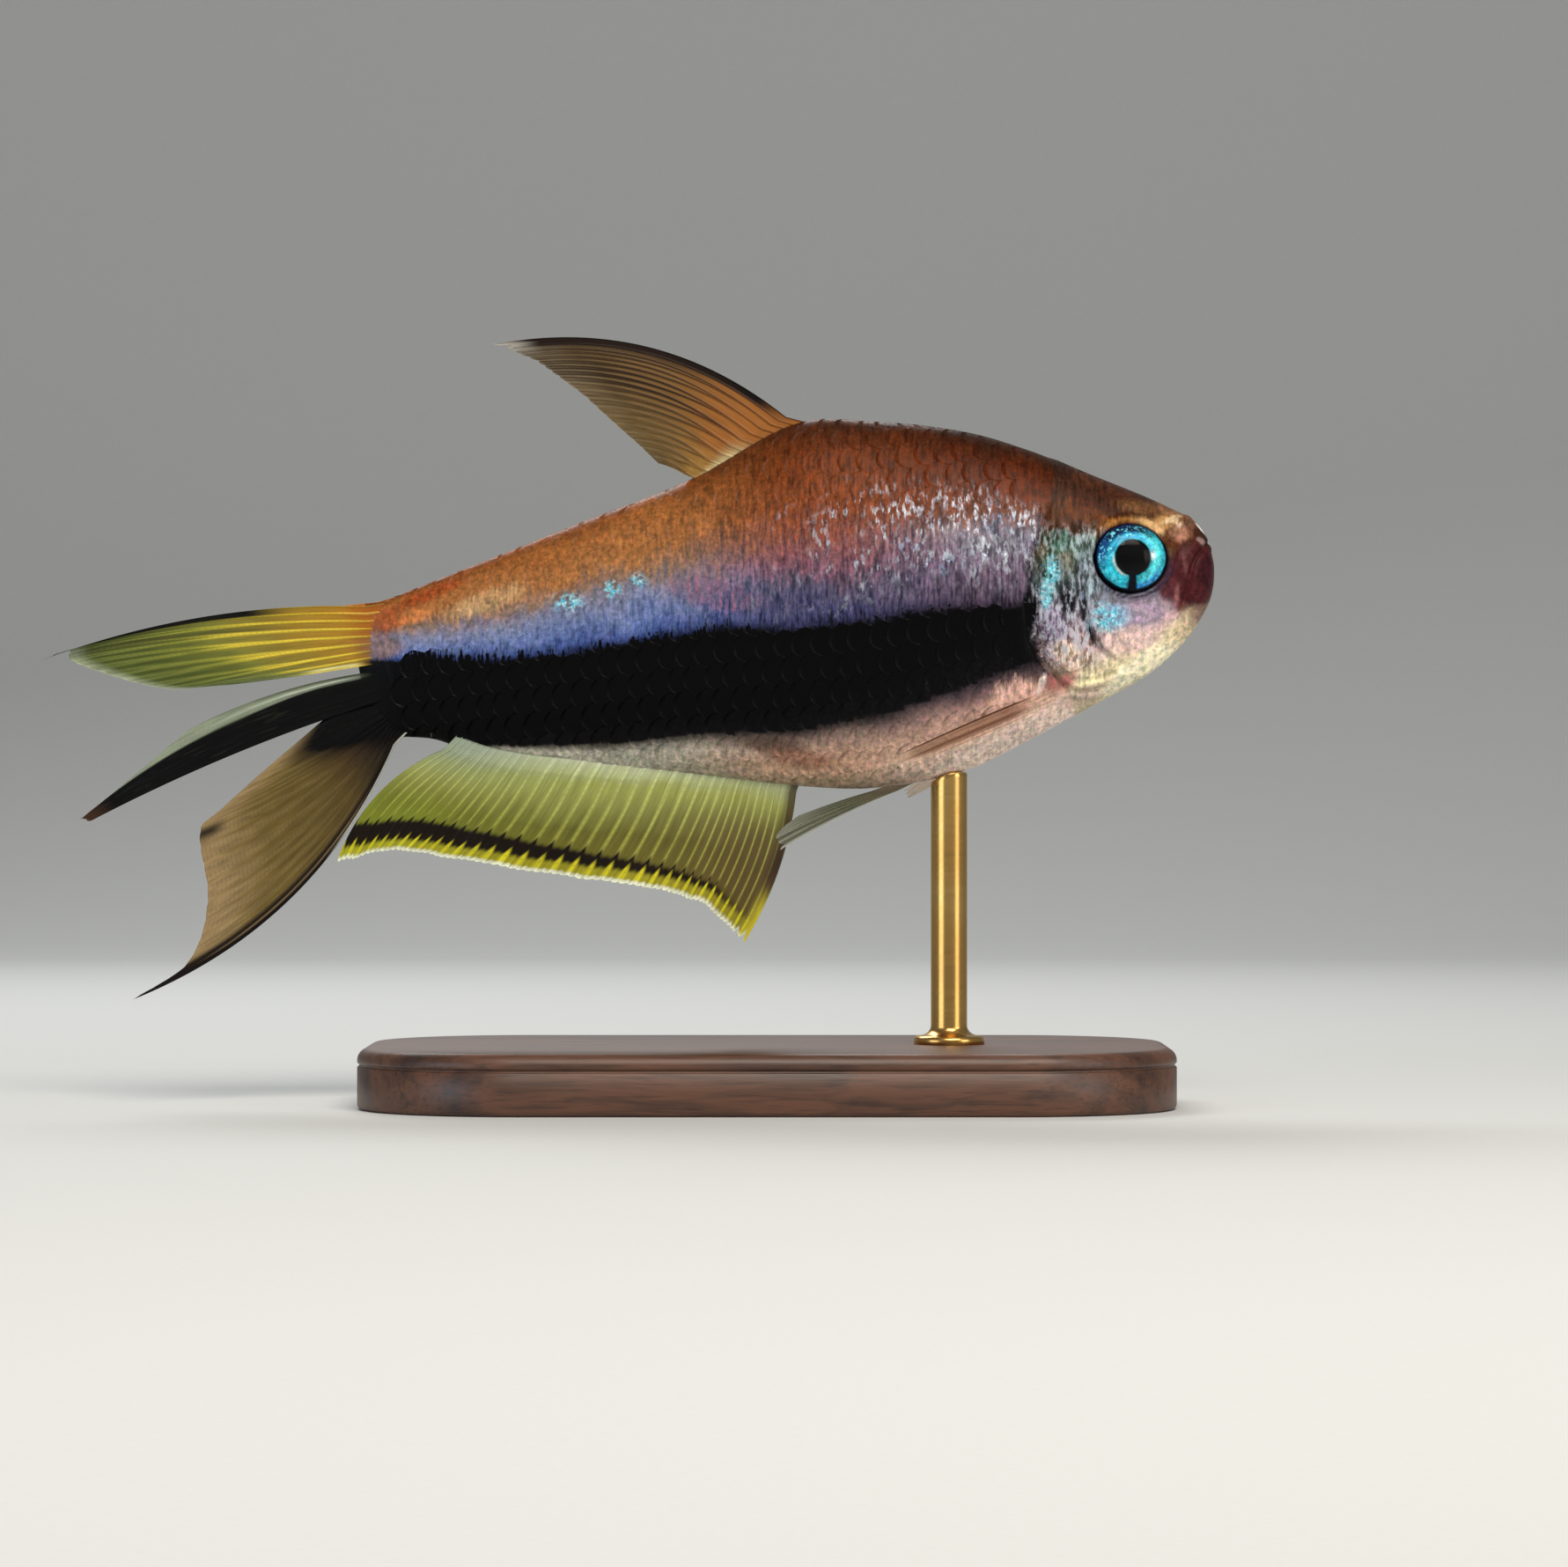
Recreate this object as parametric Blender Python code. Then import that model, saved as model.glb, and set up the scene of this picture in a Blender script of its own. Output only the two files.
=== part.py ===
"""Emperor tetra, adult male, life size, as a still model on a display stand.

Metres, +Z up. The head points to +X and the fish's right flank faces -Y. Z = 0 is the underside of the stand.
Sizes are in millimetres beside their names and are multiplied by MM where a point is placed.
"""

import math

import bmesh
import bpy
import numpy as np
from mathutils import Matrix, Vector

MM = 0.001
GAP = 0.3  # clearance between neighbouring pieces

SNOUT_X = 29.08  # snout tip, in front of the middle of the whole object
SNOUT_Z = 26.75  # snout tip, above the floor
RIGHT = -1.0
LEFT = 1.0

# The body is a loft. Each station: distance behind the snout tip, back and belly relative to the snout's
# level, half width, level of the widest point, and how pointed the section is above and below that level
# (1 is an ellipse, more is a keel, less is fuller).
NOSE_LEVEL = -0.43
NOSE_START = 0.05  # where the body is wide enough to carry a lip
BODY_STATIONS = (
    (0.04, 0.10, -1.10, 0.42, -0.45, 0.95, 0.95),
    (0.15, 0.55, -1.62, 0.82, -0.45, 0.95, 0.95),
    (0.35, 1.20, -2.15, 1.18, -0.42, 0.95, 0.95),
    (0.90, 2.02, -3.12, 1.62, -0.40, 0.95, 1.00),
    (1.70, 2.50, -4.12, 2.02, -0.38, 0.95, 1.00),
    (3.40, 3.30, -5.58, 2.58, -0.35, 0.95, 1.00),
    (6.00, 4.35, -7.04, 3.00, -0.55, 0.95, 1.00),
    (9.10, 5.62, -8.76, 3.28, -0.90, 1.00, 1.00),
    (12.60, 6.60, -10.38, 3.42, -1.20, 1.00, 0.95),
    (16.90, 7.05, -11.14, 3.36, -1.40, 1.05, 0.95),
    (20.80, 6.92, -11.02, 3.10, -1.50, 1.10, 1.05),
    (26.00, 4.14, -10.50, 2.56, -1.90, 1.10, 1.20),
    (31.30, 2.08, -10.15, 1.98, -2.80, 1.05, 1.30),
    (36.50, 0.02, -9.38, 1.38, -4.20, 1.00, 1.20),
    (38.60, -0.80, -8.72, 1.14, -4.70, 1.00, 1.00),
    (40.60, -1.58, -8.62, 0.90, -5.05, 1.00, 1.00),
    (42.40, -2.10, -8.66, 0.72, -5.35, 1.00, 1.00),
)
RING_POINTS = 40
RINGS_PER_STATION = (2, 2, 2, 2, 3, 4, 4, 4, 4, 4, 4, 4, 4, 3, 2, 2)
TAIL_SWAY = 0.9  # how far the tail root swings to the far side
SWAY_START, SWAY_LENGTH = 22.0, 22.0

# Where the whole body is parted.
TAIL_CUT_TOP, TAIL_CUT_BOTTOM = (34.8, 6.0), (34.8, -14.0)
TAIL_END_TOP, TAIL_END_BOTTOM = (41.5, -1.9), (40.25, -8.65)
TAIL_END_REACH = 4.0  # how far that cut goes on above and below the body
GILL_OPENING = (
    (7.60, 8.00), (7.85, 5.20), (8.20, 2.90), (8.75, 1.50), (9.15, 0.00), (9.20, -2.20),
    (9.05, -3.80), (8.55, -4.95), (7.85, -5.70), (7.25, -6.35), (6.90, -7.20), (6.80, -9.50),
)

# The gill cover, a plate between the edge of the cheek and the gill opening.
COVER_FRONT = (
    (7.95, 1.82), (7.62, 1.30), (7.22, 0.00), (6.92, -1.75),
    (6.50, -3.05), (6.12, -3.95), (6.12, -4.75), (6.75, -5.32),
)
COVER_HIND = (
    (8.20, 1.86), (8.58, 1.35), (8.90, 0.00), (8.95, -2.20),
    (8.78, -3.60), (8.32, -4.62), (7.62, -5.25), (7.00, -5.40),
)
COVER_THICK, COVER_PROUD = 0.62, 0.12
COVER_ROWS, COVER_COLUMNS = 16, 6
POCKET_PROUD = 1.2  # how far the cutter of the pocket reaches out of the head

# The eye is a flattened ball set in the head, turned a little forward and up.
EYE_BEHIND, EYE_UP = 4.30, 0.14
EYE_RADIUS, EYE_TALL, EYE_DEPTH = 1.88, 1.75, 1.0
EYE_SUNK = 0.42  # its middle, below the surface of the head
EYE_TURN_FORWARD, EYE_TURN_UP = math.radians(9), math.radians(4)
RIM_RADIUS, RIM_TALL, RIM_THICK, RIM_SUNK = 2.25, 2.12, 0.30, 0.20
RIM_STEPS = 24

# The mouth slants down and back from the front of the snout.
MOUTH_LINE = ((0.27, 1.02), (0.62, 0.72), (0.98, 0.20), (1.22, -0.50), (1.40, -1.20), (1.58, -1.85))
MOUTH_GROOVE, MOUTH_DEPTH = 0.16, 0.40
MOUTH_LEAD = 1.2  # how far the groove's cutter reaches out in front of the snout
LIP_THICK, LIP_SPREAD, LIP_SUNK = 0.27, 0.29, 0.18
LIP_TAPER = 0.45  # the share of its thickness that a lip loses at the corner of the mouth
LIP_ROOM = 0.25  # least half width of the snout where a lip lies
MAXILLA = ((1.05, 0.75), (1.55, 0.10), (1.86, -0.80), (2.06, -1.60), (2.12, -2.15))
MAXILLA_THICK, MAXILLA_SUNK = 0.30, 0.20
NOSTRILS = ((1.42, 2.02), (1.86, 2.10))
NOSTRIL_WIDE, NOSTRIL_TALL, NOSTRIL_DEEP = 0.15, 0.24, 0.35
TUBE_SIDES = 6
CUT_WIDE = 6.0  # half width of a cutter that runs right across the fish

# Each fin is a fan of rays. A guide ray: root behind and up, tip behind and up, bow of the ray, and how far
# its root and its tip stand to the far side. The rays between guides follow them.
DORSAL_GUIDES = (
    (21.15, 7.22, 35.55, 10.90, 3.4, 0.0, 0.9),
    (22.15, 6.75, 34.00, 10.25, 2.6, 0.0, 0.8),
    (23.40, 6.10, 32.00, 9.00, 1.5, 0.0, 0.6),
    (24.75, 5.27, 29.60, 6.95, 0.8, 0.0, 0.4),
    (26.20, 4.42, 27.45, 4.95, 0.1, 0.0, 0.2),
)
ANAL_GUIDES = (
    (20.65, -11.33, 23.25, -18.80, -0.9, 0.0, 0.3),
    (22.80, -11.12, 25.10, -16.95, -0.5, 0.0, -0.2),
    (25.20, -10.90, 27.75, -16.05, -0.3, 0.0, -0.4),
    (29.60, -10.62, 32.45, -15.42, -0.3, 0.05, 0.1),
    (33.90, -10.20, 37.30, -14.65, -0.3, 0.2, 0.5),
    (36.40, -9.72, 40.60, -14.20, 0.1, 0.3, 0.6),
    (38.05, -9.15, 42.95, -14.75, 1.3, 0.4, 0.5),
)
UPPER_LOBE_GUIDES = (
    (41.95, -2.10, 58.20, -4.75, 1.6, 0.75, 2.2),
    (41.84, -2.85, 57.00, -4.30, 0.9, 0.75, 2.3),
    (41.70, -3.60, 56.20, -5.05, 0.5, 0.74, 2.3),
    (41.58, -4.30, 52.20, -6.10, 0.1, 0.74, 2.1),
    (41.45, -4.95, 48.80, -5.98, -0.1, 0.74, 1.7),
)
MIDDLE_RAY_GUIDES = (
    (41.38, -5.32, 50.80, -8.20, 0.9, 0.74, 1.4),
    (41.30, -5.72, 55.75, -12.30, 2.1, 0.74, 1.6),
    (41.20, -6.25, 56.05, -12.55, 1.1, 0.74, 1.6),
    (41.12, -6.75, 55.80, -12.80, -0.2, 0.74, 1.6),
)
LOWER_LOBE_GUIDES = (
    (40.55, -9.00, 53.40, -21.55, -3.7, 0.72, -0.4),
    (40.62, -8.55, 50.60, -19.60, -2.4, 0.72, -0.2),
    (40.70, -8.15, 49.80, -16.60, -1.6, 0.72, 0.4),
    (40.78, -7.80, 50.20, -13.40, -0.9, 0.73, 0.9),
    (40.86, -7.45, 48.90, -11.90, -0.3, 0.73, 1.1),
    (40.95, -7.10, 44.40, -8.40, 0.0, 0.74, 1.0),
)
FIN_ROWS = 7
MEMBRANE_THICK, RIDGE_PROUD = 0.50, 0.11
ROOT_THICK, PAIRED_ROOT_THICK = 0.34, 0.12  # added to the membrane at the root
SCALLOP = 0.035  # how much shorter the margin is between two rays
THIN_TIP = 0.8  # thickness at the margin, as a share of the whole
PAIRED_CLEAR = 1.4 * GAP  # from a paired fin to the flank beside it

# Paired fins. The guide's last two values are the distance of root and tip from the middle plane.
PELVIC_GUIDES = (
    (15.60, -11.22, 21.45, -14.15, 0.3, 1.00, 1.55),
    (16.25, -11.26, 21.55, -13.30, 0.2, 0.97, 1.45),
    (16.95, -11.26, 20.60, -12.50, 0.1, 0.94, 1.30),
)
RIGHT_PECTORAL_GUIDES = (
    (8.85, -6.50, 15.90, -9.60, 0.15, 2.70, 3.05),
    (8.80, -6.90, 16.10, -9.98, 0.05, 2.62, 3.00),
    (8.75, -7.30, 14.80, -9.85, -0.10, 2.52, 2.85),
)
LEFT_PECTORAL_GUIDES = (
    (8.85, -6.50, 15.20, -11.20, 0.15, 2.70, 2.60),
    (8.80, -6.90, 15.10, -11.60, 0.05, 2.60, 2.50),
    (8.75, -7.30, 14.20, -11.20, -0.10, 2.50, 2.40),
)

# The stand: a rounded board and one rod up to the belly.
BASE_LENGTH, BASE_WIDTH, BASE_HEIGHT = 40.0, 23.0, 3.0
BASE_CENTRE_X = 7.0
BASE_CORNER, BASE_EDGE = 8.0, 0.6
ROD_BEHIND, ROD_RADIUS = 13.1, 0.9
ROD_SIDES = 24

# Base colour, roughness and metallic value of each piece.
FINISHES = {
    "head": ((0.36, 0.17, 0.11), 0.35, 0.10),
    "torso": ((0.33, 0.16, 0.11), 0.32, 0.15),
    "tail": ((0.10, 0.06, 0.06), 0.35, 0.10),
    "gill_cover": ((0.55, 0.60, 0.58), 0.25, 0.60),
    "eye": ((0.06, 0.50, 0.70), 0.12, 0.20),
    "dorsal_fin": ((0.42, 0.31, 0.10), 0.45, 0.00),
    "anal_fin": ((0.48, 0.50, 0.13), 0.45, 0.00),
    "caudal_fin_upper": ((0.62, 0.56, 0.07), 0.45, 0.00),
    "caudal_fin_middle": ((0.02, 0.02, 0.02), 0.40, 0.00),
    "caudal_fin_lower": ((0.28, 0.23, 0.11), 0.45, 0.00),
    "pelvic_fin": ((0.45, 0.47, 0.42), 0.45, 0.00),
    "pectoral_fin": ((0.48, 0.30, 0.16), 0.45, 0.00),
    "stand_base": ((0.10, 0.05, 0.03), 0.40, 0.00),
    "stand_rod": ((0.78, 0.58, 0.28), 0.28, 1.00),
}


def clear_scene():
    for obj in list(bpy.data.objects):
        bpy.data.objects.remove(obj)


def smooth_rows(rows, steps):
    """Rows between the given ones, on a Catmull-Rom curve through them, by that many steps from each."""
    rows = np.array(rows, float)
    steps = [steps] * (len(rows) - 1) if isinstance(steps, int) else steps
    before = np.vstack([2 * rows[0] - rows[1], rows, 2 * rows[-1] - rows[-2]])
    found = []
    for i in range(len(rows) - 1):
        a, b, c, d = before[i : i + 4]
        for t in np.linspace(0, 1, steps[i], endpoint=False):
            found.append(
                0.5 * (2 * b + (c - a) * t + (2 * a - 5 * b + 4 * c - d) * t**2
                       + (3 * b - a - 3 * c + d) * t**3)
            )
    found.append(rows[-1])
    return np.array(found)


BODY_CURVE = smooth_rows(BODY_STATIONS, 16)


def section(behind):
    """Back, belly, half width, widest level and the two shape powers at a distance behind the snout tip."""
    return [np.interp(behind, BODY_CURVE[:, 0], BODY_CURVE[:, k]) for k in range(1, 7)]


def sway(behind):
    """How far the middle plane has swung to the far side."""
    share = min(max((behind - SWAY_START) / SWAY_LENGTH, 0.0), 1.0)
    return TAIL_SWAY * share * share * (3 - 2 * share)


def half_width(behind, up):
    """Half width of the body at that place, 0 outside it."""
    back, belly, half, widest, power_up, power_down = section(behind)
    reach, power = (back - widest, power_up) if up > widest else (belly - widest, power_down)
    share = (up - widest) / reach
    return half * max(0.0, 1 - share * share) ** (power / 2)


def place(behind, up, side=0.0):
    return Vector(((SNOUT_X - behind) * MM, side * MM, (SNOUT_Z + up) * MM))


def on_skin(behind, up, side, proud=0.0):
    """A point on the flank, side -1 for the right one, standing proud of it by that much."""
    return place(behind, up, sway(behind) + side * (half_width(behind, up) + proud))


def material(name):
    """The material of the piece with that name; a right and a left piece share theirs."""
    name = name.removesuffix("_right").removesuffix("_left")
    colour, roughness, metallic = FINISHES.get(name, FINISHES["torso"])
    made = bpy.data.materials.get(name) or bpy.data.materials.new(name)
    made.use_nodes = True
    shader = made.node_tree.nodes["Principled BSDF"]
    shader.inputs["Base Color"].default_value = (*colour, 1)
    shader.inputs["Roughness"].default_value = roughness
    shader.inputs["Metallic"].default_value = metallic
    made.diffuse_color = (*colour, 1)
    return made


def turn_outwards(work):
    bmesh.ops.recalc_face_normals(work, faces=work.faces)
    if work.calc_volume(signed=True) < 0:
        bmesh.ops.reverse_faces(work, faces=work.faces)


def add_object(name, points, faces):
    """A mesh object from points and faces, with its faces turned outwards."""
    mesh = bpy.data.meshes.new(name)
    mesh.from_pydata([tuple(p) for p in points], [], faces)
    work = bmesh.new()
    work.from_mesh(mesh)
    turn_outwards(work)
    work.to_mesh(mesh)
    work.free()
    mesh.materials.append(material(name))
    obj = bpy.data.objects.new(name, mesh)
    bpy.context.scene.collection.objects.link(obj)
    return obj


def bake_modifiers(obj):
    graph = bpy.context.evaluated_depsgraph_get()
    baked = bpy.data.meshes.new_from_object(obj.evaluated_get(graph))
    obj.modifiers.clear()
    obj.data = baked


def boolean(obj, others, operation):
    """Joins the other objects to obj, or cuts them from it, and removes them."""
    if operation == "UNION":
        collection = bpy.data.collections.new("pieces")
        bpy.context.scene.collection.children.link(collection)
        for other in others:
            collection.objects.link(other)
        joint = obj.modifiers.new("join", "BOOLEAN")
        joint.operation = "UNION"
        joint.operand_type = "COLLECTION"
        joint.collection = collection
        bake_modifiers(obj)
        bpy.data.collections.remove(collection)
    else:
        for other in others:
            cut = obj.modifiers.new("cut", "BOOLEAN")
            cut.operation = operation
            cut.solver = "MANIFOLD"
            cut.object = other
            bake_modifiers(obj)
    for other in others:
        bpy.data.objects.remove(other)


def loose_parts(obj):
    """The object's closed surfaces as bmeshes, each with its volume, largest first."""
    work = bmesh.new()
    work.from_mesh(obj.data)
    parts, seen = [], set()
    for start in work.verts:
        if start in seen:
            continue
        group, front = {start}, [start]
        while front:
            for edge in front.pop().link_edges:
                for vert in edge.verts:
                    if vert not in group:
                        group.add(vert)
                        front.append(vert)
        seen |= group
        part = bmesh.new()
        copies = {vert: part.verts.new(vert.co) for vert in group}
        for face in {face for vert in group for face in vert.link_faces}:
            part.faces.new([copies[vert] for vert in face.verts])
        parts.append((part.calc_volume(signed=False), part))
    work.free()
    return sorted(parts, key=lambda pair: -pair[0])


def take_part(name, part):
    """A new object from one loose part."""
    mesh = bpy.data.meshes.new(name)
    turn_outwards(part)
    part.to_mesh(mesh)
    mesh.materials.append(material(name))
    made = bpy.data.objects.new(name, mesh)
    bpy.context.scene.collection.objects.link(made)
    return made


def keep_largest(obj):
    parts = loose_parts(obj)
    name = obj.name
    obj.name = name + "_uncut"
    kept = take_part(name, parts[0][1])
    for _, part in parts:
        part.free()
    bpy.data.objects.remove(obj)
    return kept


def shade(obj, angle=35):
    obj.data.shade_smooth()
    obj.data.set_sharp_from_angle(angle=math.radians(angle))


def body_loft(name, grow=0.0):
    """The whole body without its fins, all its walls moved out by grow."""
    rows = smooth_rows(BODY_STATIONS, RINGS_PER_STATION)
    points = [place(-grow, NOSE_LEVEL)]
    for behind, back, belly, half, widest, power_up, power_down in rows:
        for k in range(RING_POINTS):
            angle = math.tau * k / RING_POINTS
            across, along = math.sin(angle), math.cos(angle)
            power = power_up if along > 0 else power_down
            reach = (back - widest if along > 0 else widest - belly) + grow
            side = math.copysign(abs(across) ** power, across) * (half + grow)
            points.append(place(behind - grow * (behind < 1), widest + along * reach, sway(behind) + side))
    points.append(place(BODY_STATIONS[-1][0], sum(BODY_STATIONS[-1][1:3]) / 2, TAIL_SWAY))
    last = len(points) - 1
    faces = []
    for k in range(RING_POINTS):
        follow = (k + 1) % RING_POINTS
        faces.append((0, 1 + k, 1 + follow))
        for ring in range(len(rows) - 1):
            low, high = 1 + ring * RING_POINTS, 1 + (ring + 1) * RING_POINTS
            faces.append((low + k, high + k, high + follow, low + follow))
        end = 1 + (len(rows) - 1) * RING_POINTS
        faces.append((end + follow, end + k, last))
    return add_object(name, points, faces)


def tube(name, path, radii):
    """A closed tube along the path, one radius for each of its points, with rounded-off ends."""
    path = [Vector(p) for p in path]
    points, faces = [], []
    across = None
    for i, here in enumerate(path):
        along = (path[min(i + 1, len(path) - 1)] - path[max(i - 1, 0)]).normalized()
        across = along.orthogonal() if across is None else across - across.dot(along) * along
        across.normalize()
        other = along.cross(across)
        for k in range(TUBE_SIDES):
            angle = math.tau * k / TUBE_SIDES
            points.append(here + radii[i] * (math.cos(angle) * across + math.sin(angle) * other))
    for i in range(len(path) - 1):
        low, high = i * TUBE_SIDES, (i + 1) * TUBE_SIDES
        for k in range(TUBE_SIDES):
            follow = (k + 1) % TUBE_SIDES
            faces.append((low + k, low + follow, high + follow, high + k))
    faces.append(tuple(range(TUBE_SIDES))[::-1])
    faces.append(tuple((len(path) - 1) * TUBE_SIDES + k for k in range(TUBE_SIDES)))
    return add_object(name, points, faces)


def ball(name, centre, radii, turn, segments=20, rings=12):
    """An ellipsoid whose second radius lies along its own Y, turned by a rotation matrix."""
    mesh = bpy.data.meshes.new(name)
    work = bmesh.new()
    bmesh.ops.create_uvsphere(work, u_segments=segments, v_segments=rings, radius=1)
    # The poles go along Y, so that the ball's front is a smooth cap.
    work.transform(Matrix.Rotation(math.radians(90), 4, "X"))
    work.transform(Matrix.Diagonal((*[r * MM for r in radii], 1)))
    work.transform(Matrix.Translation(centre) @ turn)
    work.to_mesh(mesh)
    work.free()
    mesh.materials.append(material(name))
    obj = bpy.data.objects.new(name, mesh)
    bpy.context.scene.collection.objects.link(obj)
    return obj


def eye_turn(side):
    return (Matrix.Rotation(side * -EYE_TURN_FORWARD, 4, "Z") @ Matrix.Rotation(side * EYE_TURN_UP, 4, "X"))


def eye_centre(side):
    return on_skin(EYE_BEHIND, EYE_UP, side, -EYE_SUNK)


def eye(name, side, grow=0.0):
    radii = (EYE_RADIUS + grow, EYE_DEPTH + grow, EYE_TALL + grow)
    return ball(name, eye_centre(side), radii, eye_turn(side))


def eye_rim(side):
    """The ring of bone and skin round the eye, sunk in the head."""
    turn = eye_turn(side)
    path = []
    for k in range(RIM_STEPS):
        angle = math.tau * k / RIM_STEPS
        flat = turn @ Vector((math.cos(angle) * RIM_RADIUS, 0, math.sin(angle) * RIM_TALL))
        behind, up = EYE_BEHIND - flat.x, EYE_UP + flat.z
        path.append(on_skin(behind, up, side, -RIM_SUNK))
    ring = tube("rim", path, [RIM_THICK * MM] * RIM_STEPS)
    # The ring is closed on itself: its two end caps go and its ends are bridged.
    work = bmesh.new()
    work.from_mesh(ring.data)
    bmesh.ops.delete(work, geom=[f for f in work.faces if len(f.verts) == TUBE_SIDES], context="FACES_ONLY")
    open_edges = [e for e in work.edges if e.is_boundary]
    bmesh.ops.bridge_loops(work, edges=open_edges)
    turn_outwards(work)
    work.to_mesh(ring.data)
    work.free()
    return ring


def slab(name, line, thick, half_wide):
    """A thin curved wall that follows a line in side view and runs right across the fish."""
    line = [Vector((b, u)) for b, u in line]
    points, faces = [], []
    for i, here in enumerate(line):
        along = (line[min(i + 1, len(line) - 1)] - line[max(i - 1, 0)]).normalized()
        off = Vector((-along.y, along.x)) * thick / 2
        for way, side in ((1, -half_wide), (1, half_wide), (-1, half_wide), (-1, -half_wide)):
            spot = here + way * off
            points.append(place(spot.x, spot.y, side))
    for i in range(len(line) - 1):
        for k in range(4):
            follow = (k + 1) % 4
            faces.append((i * 4 + k, i * 4 + follow, i * 4 + 4 + follow, i * 4 + 4 + k))
    end = (len(line) - 1) * 4
    faces += [(3, 2, 1, 0), (end, end + 1, end + 2, end + 3)]
    return add_object(name, points, faces)


def lip(name, way):
    """A bead along the mouth line, from one corner of the mouth round the front to the other."""
    line = smooth_rows(MOUTH_LINE, 3)
    path, radii = [], []
    for side in (RIGHT, LEFT):
        half = []
        for i, (behind, up) in enumerate(line):
            along = Vector(line[min(i + 1, len(line) - 1)] - line[max(i - 1, 0)]).normalized()
            spot = Vector((behind, up)) + way * LIP_SPREAD * Vector((-along.y, along.x))
            behind, up = max(spot.x, NOSE_START), spot.y
            side_room = half_width(behind, up)
            share = i / (len(line) - 1)
            if side_room > LIP_ROOM:
                half.append((on_skin(behind, up, side, -LIP_SUNK), LIP_THICK * (1 - LIP_TAPER * share)))
        half = half[::-1] if side == RIGHT else half
        path += [point for point, _ in half]
        radii += [radius * MM for _, radius in half]
    return tube(name, path, radii)


def maxilla(side):
    line = smooth_rows(MAXILLA, 3)
    path = [on_skin(b, u, side, -MAXILLA_SUNK) for b, u in line]
    radii = [MAXILLA_THICK * MM * (0.55 + 0.45 * i / (len(line) - 1)) for i in range(len(line))]
    return tube("maxilla", path, radii)


def mouth_groove():
    """The slit between the lips, a thin wall with the inside of the head taken out of it."""
    first, second = Vector(MOUTH_LINE[0]), Vector(MOUTH_LINE[1])
    lead = first + (first - second).normalized() * MOUTH_LEAD
    line = [tuple(lead)] + [tuple(row) for row in smooth_rows(MOUTH_LINE, 4)]
    groove = slab("mouth_groove", line, MOUTH_GROOVE, CUT_WIDE)
    boolean(groove, [body_loft("core", -MOUTH_DEPTH)], "DIFFERENCE")
    return groove


def nostril(side, behind, up):
    return ball("nostril", on_skin(behind, up, side), (NOSTRIL_WIDE, NOSTRIL_DEEP, NOSTRIL_TALL),
                Matrix.Rotation(math.radians(20), 4, "Y"), 10, 8)


def gill_plate(name, side, grow=0.0, outer=COVER_PROUD, inner=COVER_THICK):
    """A curved plate that follows the side of the head between the cheek and the gill opening."""
    front = smooth_rows(COVER_FRONT, 4)
    hind = smooth_rows(COVER_HIND, 4)
    outer_points, inner_points = [], []
    for j in range(COVER_ROWS):
        share = j / (COVER_ROWS - 1)
        index = share * (len(front) - 1)
        low = min(int(index), len(front) - 2)
        start = front[low] + (front[low + 1] - front[low]) * (index - low)
        end = hind[low] + (hind[low + 1] - hind[low]) * (index - low)
        lift = grow * (1 - 2 * share)
        for i in range(COVER_COLUMNS):
            across = i / (COVER_COLUMNS - 1)
            behind, up = start + (end - start) * across
            behind += grow * (2 * across - 1)
            up += lift
            # The hind edge stands a little prouder than the front one.
            outer_points.append(on_skin(behind, up, side, outer * (0.5 + 0.5 * across)))
            inner_points.append(on_skin(behind, up, side, -inner))
    return shell(name, outer_points, inner_points, COVER_ROWS, COVER_COLUMNS)


def shell(name, near, far, rows, columns):
    """A closed plate from two grids of points, split into triangles alike on both faces."""
    size = rows * columns
    faces = []
    for j in range(rows - 1):
        for i in range(columns - 1):
            a, b = j * columns + i, j * columns + i + 1
            c, d = a + columns, b + columns
            for t in ((a, b, d), (a, d, c)):
                faces += [t, tuple(size + k for k in reversed(t))]
    rim = [j * columns for j in range(rows)]
    rim += [(rows - 1) * columns + i for i in range(1, columns)]
    rim += [j * columns + columns - 1 for j in range(rows - 2, -1, -1)]
    rim += [i for i in range(columns - 2, 0, -1)]
    for k, a in enumerate(rim):
        b = rim[(k + 1) % len(rim)]
        faces += [(a, b, size + b), (a, size + b, size + a)]
    return add_object(name, near + far, faces)


def fin(name, guides, rays, lead=1.0, side=0.0, rows=FIN_ROWS):
    """A fan of rays with skin between them. Side 0 is a fin of the middle plane."""
    table = smooth_rows(guides, 16)
    columns = 2 * rays - 1
    near, far = [], []
    for j in range(rows):
        v = j / (rows - 1)
        for i in range(columns):
            u = i / (columns - 1) * (len(table) - 1)
            low = min(int(u), len(table) - 2)
            row = table[low] + (table[low + 1] - table[low]) * (u - low)
            root, tip, bow, root_side, tip_side = Vector(row[0:2]), Vector(row[2:4]), row[4], row[5], row[6]
            ray = i % 2 == 0
            reach = v if ray else v * (1 - SCALLOP)
            along = tip - root
            normal = Vector((-along.y, along.x)).normalized()
            if normal.y < 0:
                normal.negate()
            spot = root + along * reach + normal * (2 * reach * (1 - reach) * bow)
            out = root_side + (tip_side - root_side) * v**1.4
            size = MEMBRANE_THICK + (PAIRED_ROOT_THICK if side else ROOT_THICK) * (1 - v) ** 2
            size *= 1 - (1 - THIN_TIP) * v**3
            if ray:
                size += RIDGE_PROUD * 2 * (1 - 0.5 * v) * (lead if i == 0 else 1.0)
            room = half_width(spot.x, spot.y)
            if side and room > 0:
                out = max(out, room + PAIRED_CLEAR + size / 2)
            middle = side * out if side else out
            near.append(place(spot.x, spot.y, middle - size / 2))
            far.append(place(spot.x, spot.y, middle + size / 2))
    return shell(name, near, far, rows, columns)


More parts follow.
